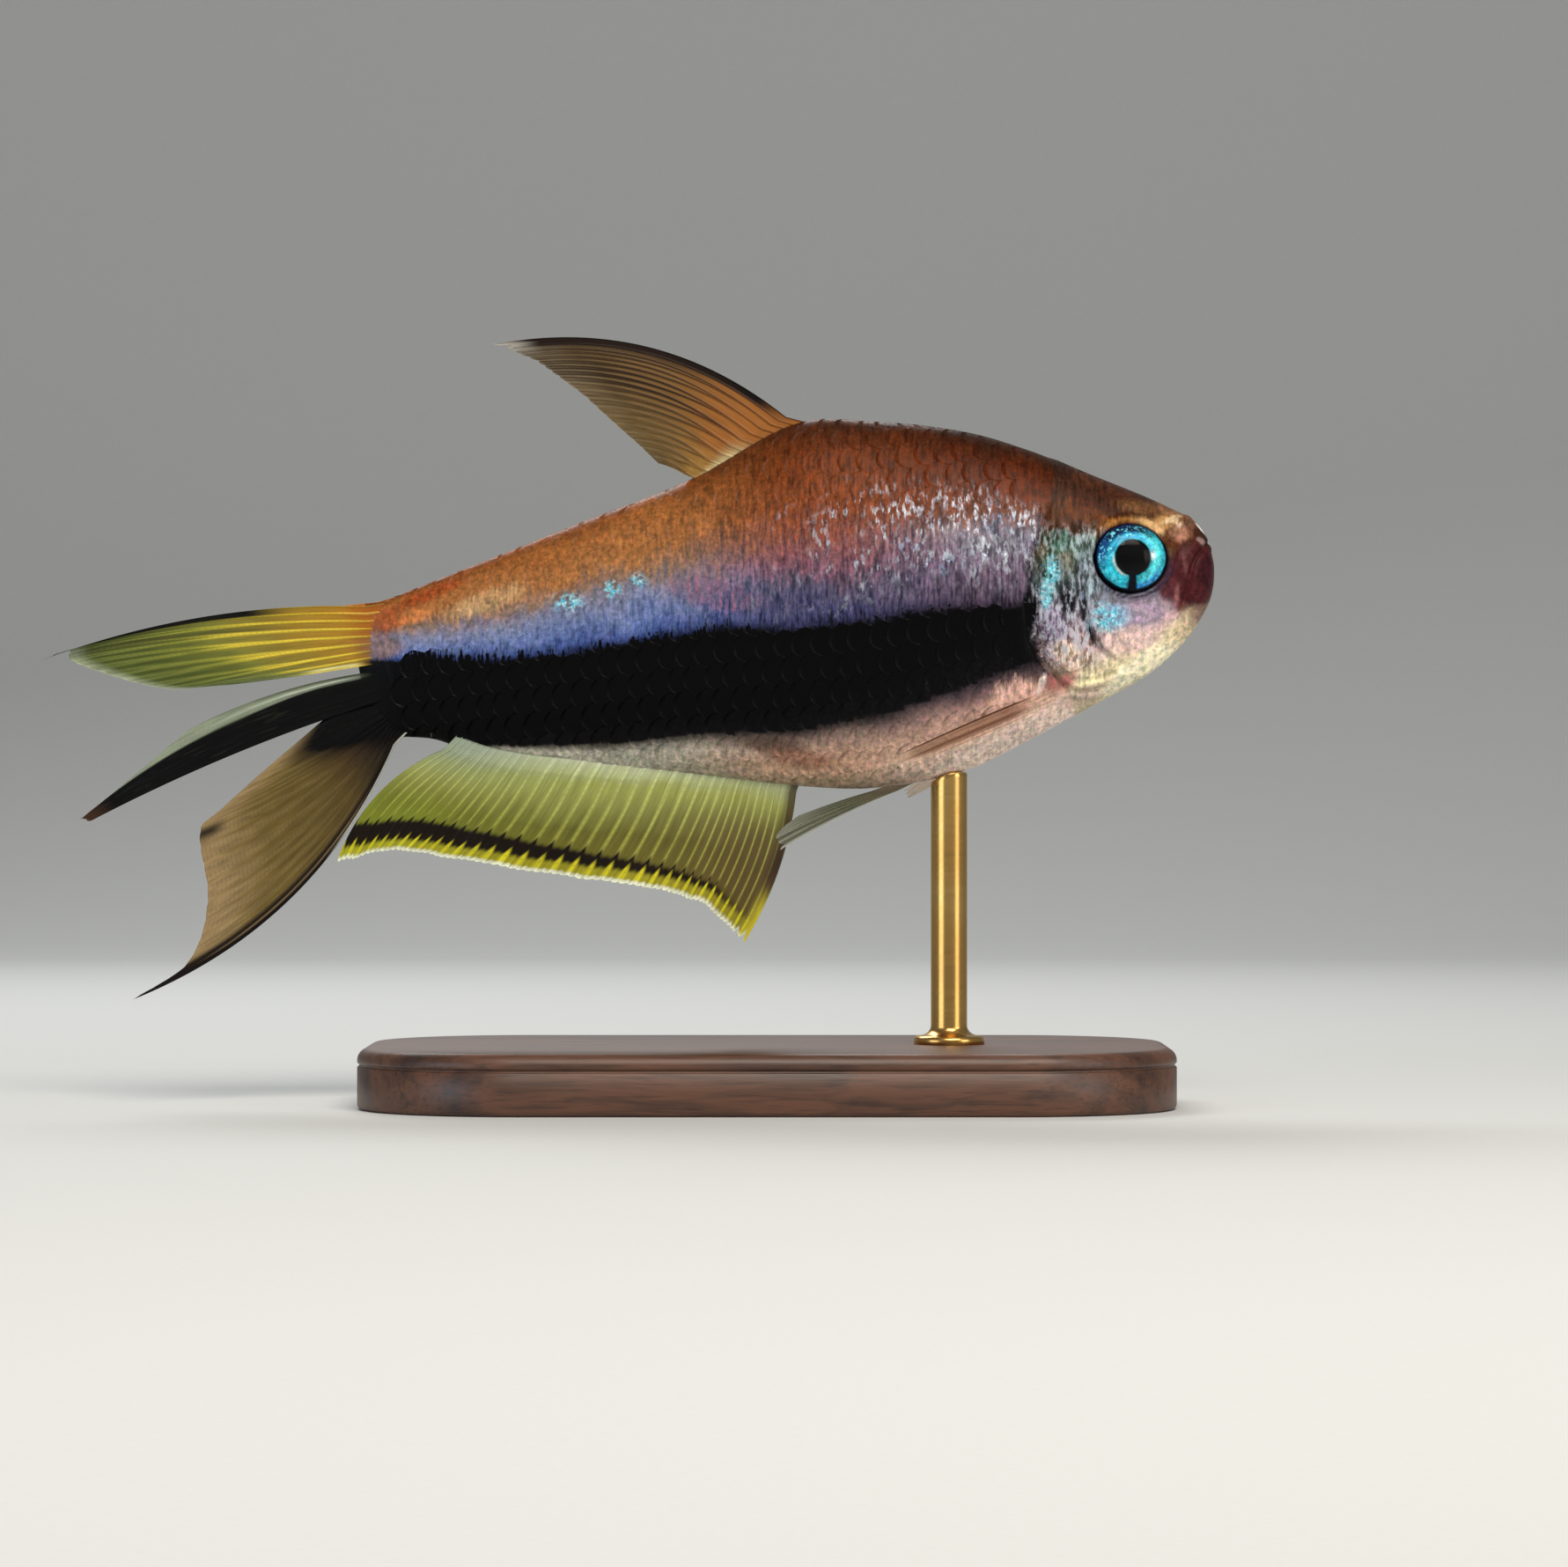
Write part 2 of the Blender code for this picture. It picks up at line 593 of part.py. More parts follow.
def build_fish():
    fish = body_loft("fish")
    pieces = [lip("upper_lip", -1), lip("lower_lip", 1)]
    for side in (RIGHT, LEFT):
        pieces += [eye_rim(side), maxilla(side)]
    boolean(fish, pieces, "UNION")
    cutters = [mouth_groove()]
    for side in (RIGHT, LEFT):
        cutters.append(eye("socket", side, GAP))
        cutters += [nostril(side, *spot) for spot in NOSTRILS]
        cutters.append(gill_plate("pocket", side, GAP, POCKET_PROUD, COVER_THICK + GAP))
    cutters.append(slab("gill_opening", smooth_rows(GILL_OPENING, 3), GAP, CUT_WIDE))
    cutters.append(slab("tail_cut", (TAIL_CUT_TOP, TAIL_CUT_BOTTOM), GAP, CUT_WIDE))
    top, bottom = Vector(TAIL_END_TOP), Vector(TAIL_END_BOTTOM)
    reach = (top - bottom).normalized() * TAIL_END_REACH
    cutters.append(slab("tail_end", (tuple(top + reach), tuple(bottom - reach)), GAP, CUT_WIDE))
    boolean(fish, cutters, "DIFFERENCE")
    parts = [part for _, part in loose_parts(fish)]
    found = sorted(parts[:4], key=lambda part: -max(vert.co.x for vert in part.verts))
    for name, part in zip(("head", "torso", "tail"), found):
        shade(take_part(name, part))
    for part in parts:
        part.free()
    bpy.data.objects.remove(fish)


def build_head_pieces():
    for name, side in (("right", RIGHT), ("left", LEFT)):
        shade(eye(f"eye_{name}", side), 60)
        shade(gill_plate(f"gill_cover_{name}", side))


def build_fins():
    shade(fin("dorsal_fin", DORSAL_GUIDES, 11, lead=2.2))
    shade(fin("anal_fin", ANAL_GUIDES, 28))
    shade(fin("caudal_fin_upper", UPPER_LOBE_GUIDES, 9, lead=1.6))
    shade(fin("caudal_fin_middle", MIDDLE_RAY_GUIDES, 4, rows=9))
    shade(fin("caudal_fin_lower", LOWER_LOBE_GUIDES, 10, lead=1.8, rows=9))
    for name, side, guides in (("right", RIGHT, RIGHT_PECTORAL_GUIDES), ("left", LEFT, LEFT_PECTORAL_GUIDES)):
        shade(fin(f"pectoral_fin_{name}", guides, 5, side=side))
        shade(fin(f"pelvic_fin_{name}", PELVIC_GUIDES, 6, side=side))


def build_stand():
    """The board stands on the floor and the rod ends close under the belly."""
    work = bmesh.new()
    bmesh.ops.create_cube(work, size=1)
    work.transform(Matrix.Diagonal((BASE_LENGTH * MM, BASE_WIDTH * MM, BASE_HEIGHT * MM, 1)))
    work.transform(Matrix.Translation((BASE_CENTRE_X * MM, 0, BASE_HEIGHT * MM / 2)))
    upright = [e for e in work.edges if abs(e.verts[0].co.z - e.verts[1].co.z) > BASE_HEIGHT * MM / 2]
    bmesh.ops.bevel(work, geom=upright, offset=BASE_CORNER * MM, segments=8, affect="EDGES", profile=0.5)
    upper = [e for e in work.edges if all(v.co.z > BASE_HEIGHT * MM * 0.99 for v in e.verts)]
    bmesh.ops.bevel(work, geom=upper, offset=BASE_EDGE * MM, segments=3, affect="EDGES", profile=0.5)
    mesh = bpy.data.meshes.new("stand_base")
    work.to_mesh(mesh)
    work.free()
    mesh.materials.append(material("stand_base"))
    base = bpy.data.objects.new("stand_base", mesh)
    bpy.context.scene.collection.objects.link(base)
    shade(base)

    foot = BASE_HEIGHT + GAP
    top = SNOUT_Z + NOSE_LEVEL
    work = bmesh.new()
    bmesh.ops.create_cone(work, cap_ends=True, segments=ROD_SIDES, radius1=ROD_RADIUS * MM,
                          radius2=ROD_RADIUS * MM, depth=(top - foot) * MM)
    work.transform(Matrix.Translation(((SNOUT_X - ROD_BEHIND) * MM, 0, (top + foot) / 2 * MM)))
    mesh = bpy.data.meshes.new("stand_rod")
    work.to_mesh(mesh)
    work.free()
    mesh.materials.append(material("stand_rod"))
    rod = bpy.data.objects.new("stand_rod", mesh)
    bpy.context.scene.collection.objects.link(rod)
    boolean(rod, [body_loft("belly", GAP)], "DIFFERENCE")
    shade(keep_largest(rod))


def main():
    clear_scene()
    build_fish()
    build_head_pieces()
    build_fins()
    build_stand()


main()
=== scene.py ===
# %% [markdown]
# # An emperor tetra on a display stand
# The object is a small aquarium fish, an adult male emperor tetra, shown as a museum model at life size on
# a plain board with one rod. Its solids were made before, in CAD. This notebook loads them as a fixed frame
# and dresses them: a fine skin with the markings of the species, over eight hundred separate scales, bony
# gill covers, glass-clear eyes, and fins with their rays. It then sets up the camera and a soft studio
# light. Sizes are in millimetres beside their names and are multiplied by MM where a mesh is made.

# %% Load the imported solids
import math
from functools import partial

import bpy
import numpy as np
from mathutils import Matrix, Vector

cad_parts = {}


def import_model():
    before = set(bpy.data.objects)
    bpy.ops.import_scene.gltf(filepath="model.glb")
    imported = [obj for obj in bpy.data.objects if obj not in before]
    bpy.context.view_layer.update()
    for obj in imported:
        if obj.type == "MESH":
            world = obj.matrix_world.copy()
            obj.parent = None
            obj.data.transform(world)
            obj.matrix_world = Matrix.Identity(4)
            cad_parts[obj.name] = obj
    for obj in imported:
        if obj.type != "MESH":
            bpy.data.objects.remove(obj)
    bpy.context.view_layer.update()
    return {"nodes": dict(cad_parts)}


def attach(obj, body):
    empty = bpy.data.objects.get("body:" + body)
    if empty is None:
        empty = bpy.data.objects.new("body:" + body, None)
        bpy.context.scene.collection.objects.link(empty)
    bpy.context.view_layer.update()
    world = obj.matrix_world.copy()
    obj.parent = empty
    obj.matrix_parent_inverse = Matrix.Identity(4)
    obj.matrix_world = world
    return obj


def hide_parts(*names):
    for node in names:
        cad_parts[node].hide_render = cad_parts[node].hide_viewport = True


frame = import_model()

MM = 0.001
SIDES = {"right": -1.0, "left": 1.0}  # the right flank faces the camera
print("solids:", ", ".join(sorted(frame["nodes"])))

# %% [markdown]
# ## The camera
# The photograph is a level side view from well away, with the fish a little above the middle of the
# picture. A long lens keeps the near and the far fins the same size, as they are there. One could also
# match it with a short lens held close, but then the head would swell. The distance is free, so the lens
# follows from it and from how many millimetres the picture spans at the fish.

# %% Camera
PICTURE_WIDE = 77.47  # what the picture spans at the fish
CAMERA_AWAY = 300.0
CAMERA_X, CAMERA_Z = 7.83, 15.875
SENSOR = 36.0

camera_data = bpy.data.cameras.new("camera")
camera_data.sensor_width = SENSOR
camera_data.lens = SENSOR * CAMERA_AWAY / PICTURE_WIDE
camera_data.clip_start, camera_data.clip_end = 0.01, 5.0
camera = bpy.data.objects.new("camera", camera_data)
camera.location = (CAMERA_X * MM, -CAMERA_AWAY * MM, CAMERA_Z * MM)
camera.rotation_euler = (math.radians(90), 0, 0)
bpy.context.scene.collection.objects.link(camera)
bpy.context.scene.camera = camera
print(f"lens {camera_data.lens:.1f} mm")

# %% [markdown]
# ## Small tools
# A few helpers are used all through. One turns an sRGB hex colour, as a painter would pick it, into the
# linear numbers that shaders use. One starts a material, one adds a shader node to it, with its settings
# and links, and one links nodes to a shader. One makes a mesh piece from arrays, with the painted attributes
# that the shaders read, and says which solids it stands for. Attributes are a good way to paint a curved
# body: the values sit on the mesh, so they stay in place from every side, and no picture is needed.

# %% Colour and node helpers
def linear(code):
    """An sRGB hex colour as linear red, green and blue."""
    values = np.array([int(code[k : k + 2], 16) for k in (1, 3, 5)]) / 255
    return np.where(values <= 0.04045, values / 12.92, ((values + 0.055) / 1.055) ** 2.4)


def output_of(source):
    """The first output of a node that is in use, or the socket itself."""
    return next(s for s in source.outputs if s.enabled) if isinstance(source, bpy.types.Node) else source


# What the second word of a node's kind sets; for all kinds of arithmetic it is the operation.
SECOND_WORD = {"Mix": "data_type", "MapRange": "interpolation_type", "Attribute": "attribute_name"}
NOISE = (0.3, 0.7)  # nearly all values of a noise lie between these


def node(finish, kind, inputs=(), stops=(), **settings):
    """Adds one shader node, such as "Math ADD". Inputs are values or nodes, by name or in socket order:
    Mix has factor, A, B; MapRange value, from, to; TexNoise place, scale, detail, roughness."""
    kind, _, word = kind.partition(" ")
    made = finish.node_tree.nodes.new("ShaderNode" + kind)
    if word:
        settings[SECOND_WORD.get(kind, "operation")] = word
    for name, value in settings.items():
        setattr(made, name, value)
    if stops:
        ramp = made.color_ramp.elements
        while len(ramp) < len(stops):
            ramp.new(0.5)
        for element, (position, code) in zip(ramp, stops):
            element.position, element.color = position, (*linear(code), 1)
    sockets = [s for s in made.inputs if s.enabled]
    if isinstance(inputs, dict):
        sockets = [next(s for s in sockets if s.name == name) for name in inputs]
        inputs = inputs.values()
    for socket, value in zip(sockets, inputs):
        value = output_of(value)
        if isinstance(value, bpy.types.NodeSocket):
            finish.node_tree.links.new(value, socket)
        else:
            socket.default_value = value
    return made


def new_finish(name, sockets):
    """A material, its Principled shader, and the function that adds nodes to it."""
    made = bpy.data.materials.new(name)
    made.use_nodes = True
    shader = made.node_tree.nodes["Principled BSDF"]
    for socket, value in sockets.items():
        shader.inputs[socket].default_value = value
    return made, shader, partial(node, made)


def wire(shader, sources):
    """Links nodes to a shader's sockets."""
    for socket, source in sources.items():
        shader.id_data.links.new(output_of(source), shader.inputs[socket])


def in_millimetres(add):
    """Object coordinates in millimetres, so that the scale of a noise follows from real sizes."""
    return add("VectorMath MULTIPLY", (add("TexCoord").outputs["Object"], (1 / MM,) * 3))


print("middle grey in linear numbers:", linear("#808080").round(3))

# %% Mesh helper
ATTRIBUTE_KINDS = {1: "FLOAT", 3: "FLOAT_VECTOR", 4: "FLOAT_COLOR"}
ATTRIBUTE_FIELDS = {1: "value", 3: "vector", 4: "color"}


def piece(name, points, faces, finish, slot, nodes, painted=None, uv=None, loop_uv=None, sharp=None):
    """A mesh piece of the model, from points in millimetres, riding on the root and standing for solids."""
    mesh = bpy.data.meshes.new(name)
    faces = faces if isinstance(faces, list) else faces.tolist()
    mesh.from_pydata((np.asarray(points) * MM).tolist(), [], faces)
    for key, values in (painted or {}).items():
        values = np.asarray(values, np.float32)
        wide = 1 if values.ndim == 1 else values.shape[1]
        made = mesh.attributes.new(key, ATTRIBUTE_KINDS[wide], "POINT")
        made.data.foreach_set(ATTRIBUTE_FIELDS[wide], values.ravel())
    if uv is not None:
        corners = np.empty(len(mesh.loops), np.int32)
        mesh.loops.foreach_get("vertex_index", corners)
        loop_uv = np.asarray(uv)[corners]
    if loop_uv is not None:
        mesh.uv_layers.new(name="OFBake").data.foreach_set("uv", np.asarray(loop_uv, np.float32).ravel())
    mesh.shade_smooth()
    if sharp is not None:
        mesh.polygons.foreach_set("use_smooth", ~sharp)
    mesh.materials.append(finish)
    made = bpy.data.objects.new(name, mesh)
    bpy.context.scene.collection.objects.link(made)
    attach(made, "root")
    if nodes:
        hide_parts(*nodes)
    print(f"{name}: {sum(len(p.vertices) - 2 for p in mesh.polygons)} triangles")

# %% Faces, and a smooth step
def turned_outward(points, faces):
    """The quads of a closed mesh, reversed if they enclose a negative volume."""
    a, b, c, d = (np.asarray(points)[faces[:, k]] for k in range(4))
    volume = np.einsum("ij,ij->", a, np.cross(b, c) + np.cross(c, d))
    return faces if volume > 0 else faces[:, ::-1]


def grid_faces(rows, columns, wrap=False, start=0, flip=False):
    """The quads between the points of a grid, numbered row by row."""
    row = np.arange(rows - 1)[:, None] * columns
    column = np.arange(columns if wrap else columns - 1)[None, :]
    follow = (column + 1) % columns
    quads = np.stack([row + column, row + columns + column, row + columns + follow, row + follow], -1)
    quads = quads.reshape(-1, 4) + start
    return quads[:, ::-1] if flip else quads


def closed_sheet(rows, columns):
    """Faces of a closed plate: a near grid, a far grid numbered after it, and the rim."""
    size = rows * columns
    index = np.arange(size).reshape(rows, columns)
    border = np.concatenate([index[:-1, 0], index[-1, :-1], index[:0:-1, -1], index[0, :0:-1]])
    follow = np.roll(border, -1)
    walls = np.stack([border, follow, follow + size, border + size], -1)
    near, far = grid_faces(rows, columns), grid_faces(rows, columns, start=size, flip=True)
    return np.concatenate([near, far, walls])


def ease(low, high, value):
    """A smooth step: 0 at low, 1 at high."""
    share = np.clip((value - low) / (high - low), 0, 1)
    return share * share * (3 - 2 * share)


print("faces of a closed sheet of three by three points:", len(closed_sheet(3, 3)))

# %% [markdown]
# ## The form of the body
# The body is the same loft as in CAD: cross sections at stations behind the snout tip, joined by a smooth
# curve. Each section says how high the back is, how low the belly is, how wide the body is and at what
# level. The numbers repeat those of the solids, so that the skin lies on them. A sculpted mesh would do too,
# but a formula lets every later piece, from a scale to a fin root, ask where the skin is.

# %% Body stations, as in the solids
SNOUT_X, SNOUT_Z = 29.08, 26.75
NOSE_LEVEL = -0.43
# Behind the snout, back, belly, half width, widest level, and the powers that round upper and lower half.
BODY_STATIONS = (
    (0.04, 0.10, -1.10, 0.42, -0.45, 0.95, 0.95),
    (0.15, 0.55, -1.62, 0.82, -0.45, 0.95, 0.95),
    (0.35, 1.20, -2.15, 1.18, -0.42, 0.95, 0.95),
    (0.90, 2.02, -3.12, 1.62, -0.40, 0.95, 1.00),
    (1.70, 2.50, -4.12, 2.02, -0.38, 0.95, 1.00),
    (3.40, 3.30, -5.58, 2.58, -0.35, 0.95, 1.00),
    (6.00, 4.35, -7.04, 3.00, -0.55, 0.95, 1.00),
    (9.10, 5.62, -8.76, 3.28, -0.90, 1.00, 1.00),
    (12.60, 6.60, -10.38, 3.42, -1.20, 1.00, 0.95),
    (16.90, 7.05, -11.14, 3.36, -1.40, 1.05, 0.95),
    (20.80, 6.92, -11.02, 3.10, -1.50, 1.10, 1.05),
    (26.00, 4.14, -10.50, 2.56, -1.90, 1.10, 1.20),
    (31.30, 2.08, -10.15, 1.98, -2.80, 1.05, 1.30),
    (36.50, 0.02, -9.38, 1.38, -4.20, 1.00, 1.20),
    (38.60, -0.80, -8.72, 1.12, -4.70, 1.00, 1.00),
    (40.60, -1.58, -8.62, 0.80, -5.05, 1.00, 1.00),
    (42.40, -2.10, -8.66, 0.46, -5.35, 1.00, 1.00),
)


def smooth_rows(rows, steps):
    """Rows between the given ones, on a Catmull-Rom curve through them."""
    rows = np.array(rows, float)
    before = np.vstack([2 * rows[0] - rows[1], rows, 2 * rows[-1] - rows[-2]])
    found = []
    for a, b, c, d in zip(before, before[1:], before[2:], before[3:]):
        for t in np.linspace(0, 1, steps, endpoint=False):
            found.append(0.5 * (2 * b + (c - a) * t + (2 * a - 5 * b + 4 * c - d) * t**2
                                + (3 * b - a - 3 * c + d) * t**3))
    found.append(rows[-1])
    return np.array(found)


BODY_CURVE = smooth_rows(BODY_STATIONS, 16)
print(len(BODY_CURVE), "sections from the snout tip to the tail root")

# %% Places on the body
TAIL_SWAY, SWAY_START, SWAY_LENGTH = 0.9, 22.0, 22.0


def section(behind):
    """Back, belly, half width, widest level and the two shape powers, at distances behind the snout tip."""
    return [np.interp(behind, BODY_CURVE[:, 0], BODY_CURVE[:, k]) for k in range(1, 7)]


def sway(behind):
    """How far the middle plane has swung to the far side."""
    return TAIL_SWAY * ease(SWAY_START, SWAY_START + SWAY_LENGTH, behind)


def world(behind, up, side):
    """Points in the model's millimetres from distances behind and above the snout tip."""
    return np.stack(np.broadcast_arrays(SNOUT_X - behind, side, SNOUT_Z + up), -1)


def ring_point(behind, angle):
    """A point on the body: angle 0 is the back, pi the belly, and a half turn goes down the left side."""
    back, belly, half, widest, power_up, power_down = section(behind)
    across, along = np.sin(angle), np.cos(angle)
    power = np.where(along > 0, power_up, power_down)
    reach = np.where(along > 0, back - widest, widest - belly)
    side = np.sign(across) * np.abs(across) ** power * half
    return world(behind, widest + along * reach, sway(behind) + side)


def skin_normal(behind, angle):
    """The outward direction of the skin, from its slopes."""
    step = 0.01
    along = ring_point(behind + step, angle) - ring_point(behind - step, angle)
    around = ring_point(behind, angle + step) - ring_point(behind, angle - step)
    normal = np.cross(around, along)
    return normal / np.maximum(np.linalg.norm(normal, axis=-1, keepdims=True), 1e-9)


def half_width(behind, up):
    """Half width of the body at a level, 0 outside it."""
    back, belly, half, widest, power_up, power_down = section(behind)
    reach = np.where(up > widest, back - widest, belly - widest)
    power = np.where(up > widest, power_up, power_down)
    share = (up - widest) / reach
    return half * np.maximum(0.0, 1 - share * share) ** (power / 2)


def angle_of(behind, up, side):
    """The ring angle of the place on one side of the body at that level."""
    back, belly, _, widest = section(behind)[:4]
    reach = np.where(up > widest, back - widest, widest - belly)
    return side * np.arccos(np.clip((up - widest) / reach, -1, 1))


middle_normal = skin_normal(np.array([15.0]), np.array([-np.pi / 2]))[0]
print("the right flank faces", middle_normal.round(2))

# %% [markdown]
# ## The face, pressed into the skin
# A fish's head has no scales. Skin lies straight on bone, so the bones show: a raised orbit round the eye,
# the slanted mouth with its lips, the maxilla behind its corner, two nostrils, the edge of the preopercle,
# the rays of skin under the gill cover, and the deep step of the gill opening. All are pressed into the skin
# as bumps and grooves, measured from lines in side view. That keeps the skin one closed surface, where
# joined pieces would leave seams.

# %% Lines of the face
EYE_BEHIND, EYE_UP = 4.30, 0.14
EYE_RADIUS, EYE_TALL, EYE_DEPTH, EYE_SUNK = 1.88, 1.75, 1.0, 0.42
EYE_TURN_FORWARD, EYE_TURN_UP = math.radians(9), math.radians(4)
MOUTH_LINE = ((0.12, 1.30), (0.27, 1.02), (0.62, 0.72), (0.98, 0.20), (1.22, -0.50), (1.40, -1.20),
              (1.58, -1.85))
MAXILLA = ((1.05, 0.75), (1.55, 0.10), (1.86, -0.80), (2.06, -1.60), (2.12, -2.15))
NOSTRILS = ((1.42, 2.02), (1.86, 2.10))
PREOPERCLE = ((6.30, 1.20), (6.75, 0.00), (6.72, -1.40), (6.48, -2.80), (6.05, -3.90), (5.30, -4.70),
              (4.40, -5.20))
SUBORBITAL = ((2.35, -1.60), (3.10, -2.45), (4.20, -2.75), (5.30, -2.35), (6.10, -1.30))
GILL_OPENING = (
    (7.60, 8.00), (7.85, 5.20), (8.20, 2.90), (8.75, 1.50), (9.15, 0.00), (9.20, -2.20),
    (9.05, -3.80), (8.55, -4.95), (7.85, -5.70), (7.25, -6.35), (6.90, -7.20), (6.80, -9.50),
)
GILL_RAYS = (
    ((4.30, -5.45), (5.60, -5.95), (6.90, -6.10), (7.70, -5.75)),
    ((4.60, -5.90), (5.80, -6.45), (6.80, -6.60), (7.30, -6.30)),
)
print(f"the gill opening lies {max(place for place, _ in GILL_OPENING)} mm behind the snout tip")

# %% Distances from the lines
def line_distance(line, behind, up):
    """Distance from a line in side view, and where along it the nearest place is, from 0 to 1."""
    line = smooth_rows(line, 6)
    best = np.full(np.shape(behind), 1e9)
    share = np.zeros(np.shape(behind))
    for k, (a, b) in enumerate(zip(line, line[1:])):
        step = b - a
        t = np.clip(((behind - a[0]) * step[0] + (up - a[1]) * step[1]) / step.dot(step), 0, 1)
        away = np.hypot(behind - a[0] - t * step[0], up - a[1] - t * step[1])
        share = np.where(away < best, (k + t) / (len(line) - 1), share)
        best = np.minimum(best, away)
    return best, share


def behind_opening(behind, up):
    """How far a place lies behind the gill opening, less than 0 on the head."""
    line = np.array(GILL_OPENING)[::-1]
    return behind - np.interp(up, line[:, 1], line[:, 0])


def bump(away, wide):
    return np.exp(-((away / wide) ** 2))


def eye_distance(behind, up):
    """Distance from the middle of the eye, stretched so that the oval edge of the eye is at its radius."""
    return np.hypot(behind - EYE_BEHIND, (up - EYE_UP) * EYE_RADIUS / EYE_TALL)


print(f"from the corner of the mouth to the middle of the eye: {eye_distance(*MOUTH_LINE[-1]):.2f} mm")

# %% Form of the face
# How far the main forms stand out of the loft or lie in it.
ORBIT_RISE, SOCKET_DEPTH, LIP_RISE, MAXILLA_RISE, NOSTRIL_DEPTH = 0.11, 0.95, 0.06, 0.12, 0.28
PREOPERCLE_DEPTH, OPENING_DEPTH, SHOULDER_RISE = 0.12, 0.42, 0.10


def face_form(behind, up):
    """How far the skin stands in or out of the plain loft at each place, in millimetres."""
    past_eye = eye_distance(behind, up) - EYE_RADIUS
    form = ORBIT_RISE * bump(past_eye - 0.21, 0.20) - SOCKET_DEPTH * (1 - ease(-0.33, -0.02, past_eye))
    form -= 0.05 * bump(past_eye - 0.67, 0.22)
    mouth, share = line_distance(MOUTH_LINE, behind, up)
    lips = (1 - 0.55 * share) * (0.25 + 0.75 * ease(0.03, 0.25, share))
    slit = 0.04 + 0.13 * ease(0.03, 0.35, share) - 0.06 * share
    form += LIP_RISE * lips * bump(mouth - 0.27, 0.15) - slit * bump(mouth, 0.075)
    maxilla, share = line_distance(MAXILLA, behind, up)
    form += MAXILLA_RISE * (0.5 + 0.5 * share) * bump(maxilla, 0.24) - 0.06 * bump(maxilla - 0.42, 0.10)
    for spot in NOSTRILS:
        away = np.hypot((behind - spot[0]) / 0.8, (up - spot[1]))
        form += 0.07 * bump(away - 0.30, 0.10) - NOSTRIL_DEPTH * bump(away, 0.15)
    edge, share = line_distance(PREOPERCLE, behind, up)
    form += 0.06 * bump(edge - 0.28, 0.20) * (1 - 0.5 * share)
    form -= PREOPERCLE_DEPTH * bump(edge, 0.13) * np.sin(np.pi * share) ** 0.5
    under, share = line_distance(SUBORBITAL, behind, up)
    form -= 0.06 * bump(under, 0.14) * np.sin(np.pi * share)
    for ray in GILL_RAYS:
        away, share = line_distance(ray, behind, up)
        ends = np.sin(np.pi * np.clip(share, 0.03, 0.97)) ** 0.6
        form += (0.07 * bump(away, 0.17) - 0.10 * bump(away - 0.26, 0.08)) * ends
    opening = behind_opening(behind, up)
    flank = ease(3.3, 1.2, up) * ease(-6.9, -5.6, up)
    form -= OPENING_DEPTH * bump(opening - 0.02, 0.17) * flank
    form += SHOULDER_RISE * bump(opening - 0.75, 0.45) * flank * ease(-1.0, -3.0, up)
    return form


probe = face_form(np.array([EYE_BEHIND, 0.98, 3.4]), np.array([EYE_UP, 0.20, -4.0]))
print("skin level at the eye, in the mouth and on the cheek:", probe.round(2))

# %% [markdown]
# ## The chart of the markings
# The colours follow a plan that every emperor tetra shares: a black band along the lower flank, blue and
# violet just above it, rust on the back, pale pink and cream below. So each point of skin gets its chart
# values: how far along the body it is, its level, from 0 at the belly edge through 0.5 in the black band to
# 1 at the ridge of the back, and its distance into the band. The shader paints from these. The alternative,
# plain height bands, would not follow the rising belly and the slanting tail root.

# %% Chart values
BODY_LENGTH = 42.0
BAND_TOP = (
    (8.9, -1.3), (9.2, -1.6), (9.7, -2.25), (10.8, -2.50), (12.0, -2.4), (15.0, -2.75), (18.0, -3.3),
    (20.8, -3.5), (24.0, -3.5), (28.1, -4.05), (32.2, -4.72), (36.0, -5.0), (39.0, -4.92), (41.7, -4.85),
)
BAND_BOTTOM = (
    (9.4, -4.9), (12.1, -5.95), (15.5, -7.15), (18.0, -7.65), (20.5, -8.2), (25.5, -8.4), (29.5, -8.8),
    (33.6, -8.95), (37.0, -8.95), (41.0, -9.0),
)
BAND_FRONT = 8.95


def band_edges(behind):
    top, bottom = np.array(BAND_TOP), np.array(BAND_BOTTOM)
    return np.interp(behind, top[:, 0], top[:, 1]), np.interp(behind, bottom[:, 0], bottom[:, 1])


def chart(behind, up):
    """Along, level and distance into the band, one row for each point."""
    back, belly = section(behind)[:2]
    top, bottom = band_edges(behind)
    bottom = np.maximum(bottom, belly - 0.6)
    above = np.clip((up - top) / np.maximum(back - top, 0.2), 0, 1)
    below = np.clip((bottom - up) / np.maximum(bottom - belly, 0.2), 0, 1)
    level = 0.5 + np.where(up > top, 0.1 + 0.4 * above, 0) - np.where(up < bottom, 0.1 + 0.4 * below, 0)
    inside = np.minimum(top - up, up - bottom)
    inside = np.minimum(inside, (behind - BAND_FRONT) * 0.9)
    return np.stack([behind / BODY_LENGTH, level, inside], -1)


sample = chart(np.array([15.0, 15.0, 15.0]), np.array([4.0, -4.5, -10.0]))
print("along, level and depth in the band on the back, in the band and on the belly:")
print(sample.round(2))

# %% Trim and lustre
# Places where crystals glint turquoise, and their half sizes.
GLINTS = (
    ((5.45, -2.72), (1.10, 1.05)), ((8.45, -1.65), (0.42, 0.95)), ((8.2, -0.5), (0.6, 1.0)),
    ((31.9, -1.95), (0.95, 0.60)), ((29.7, -1.35), (0.60, 0.55)), ((28.4, -0.9), (0.5, 0.45)),
)
STROKE_HARD = 0.30  # the share of a stroke that is fully covered
JAW_SPOT, JAW_SIZE, JAW_TURN = (3.5, -5.2), (3.8, 1.2), -34  # the smooth skin of the lower jaw


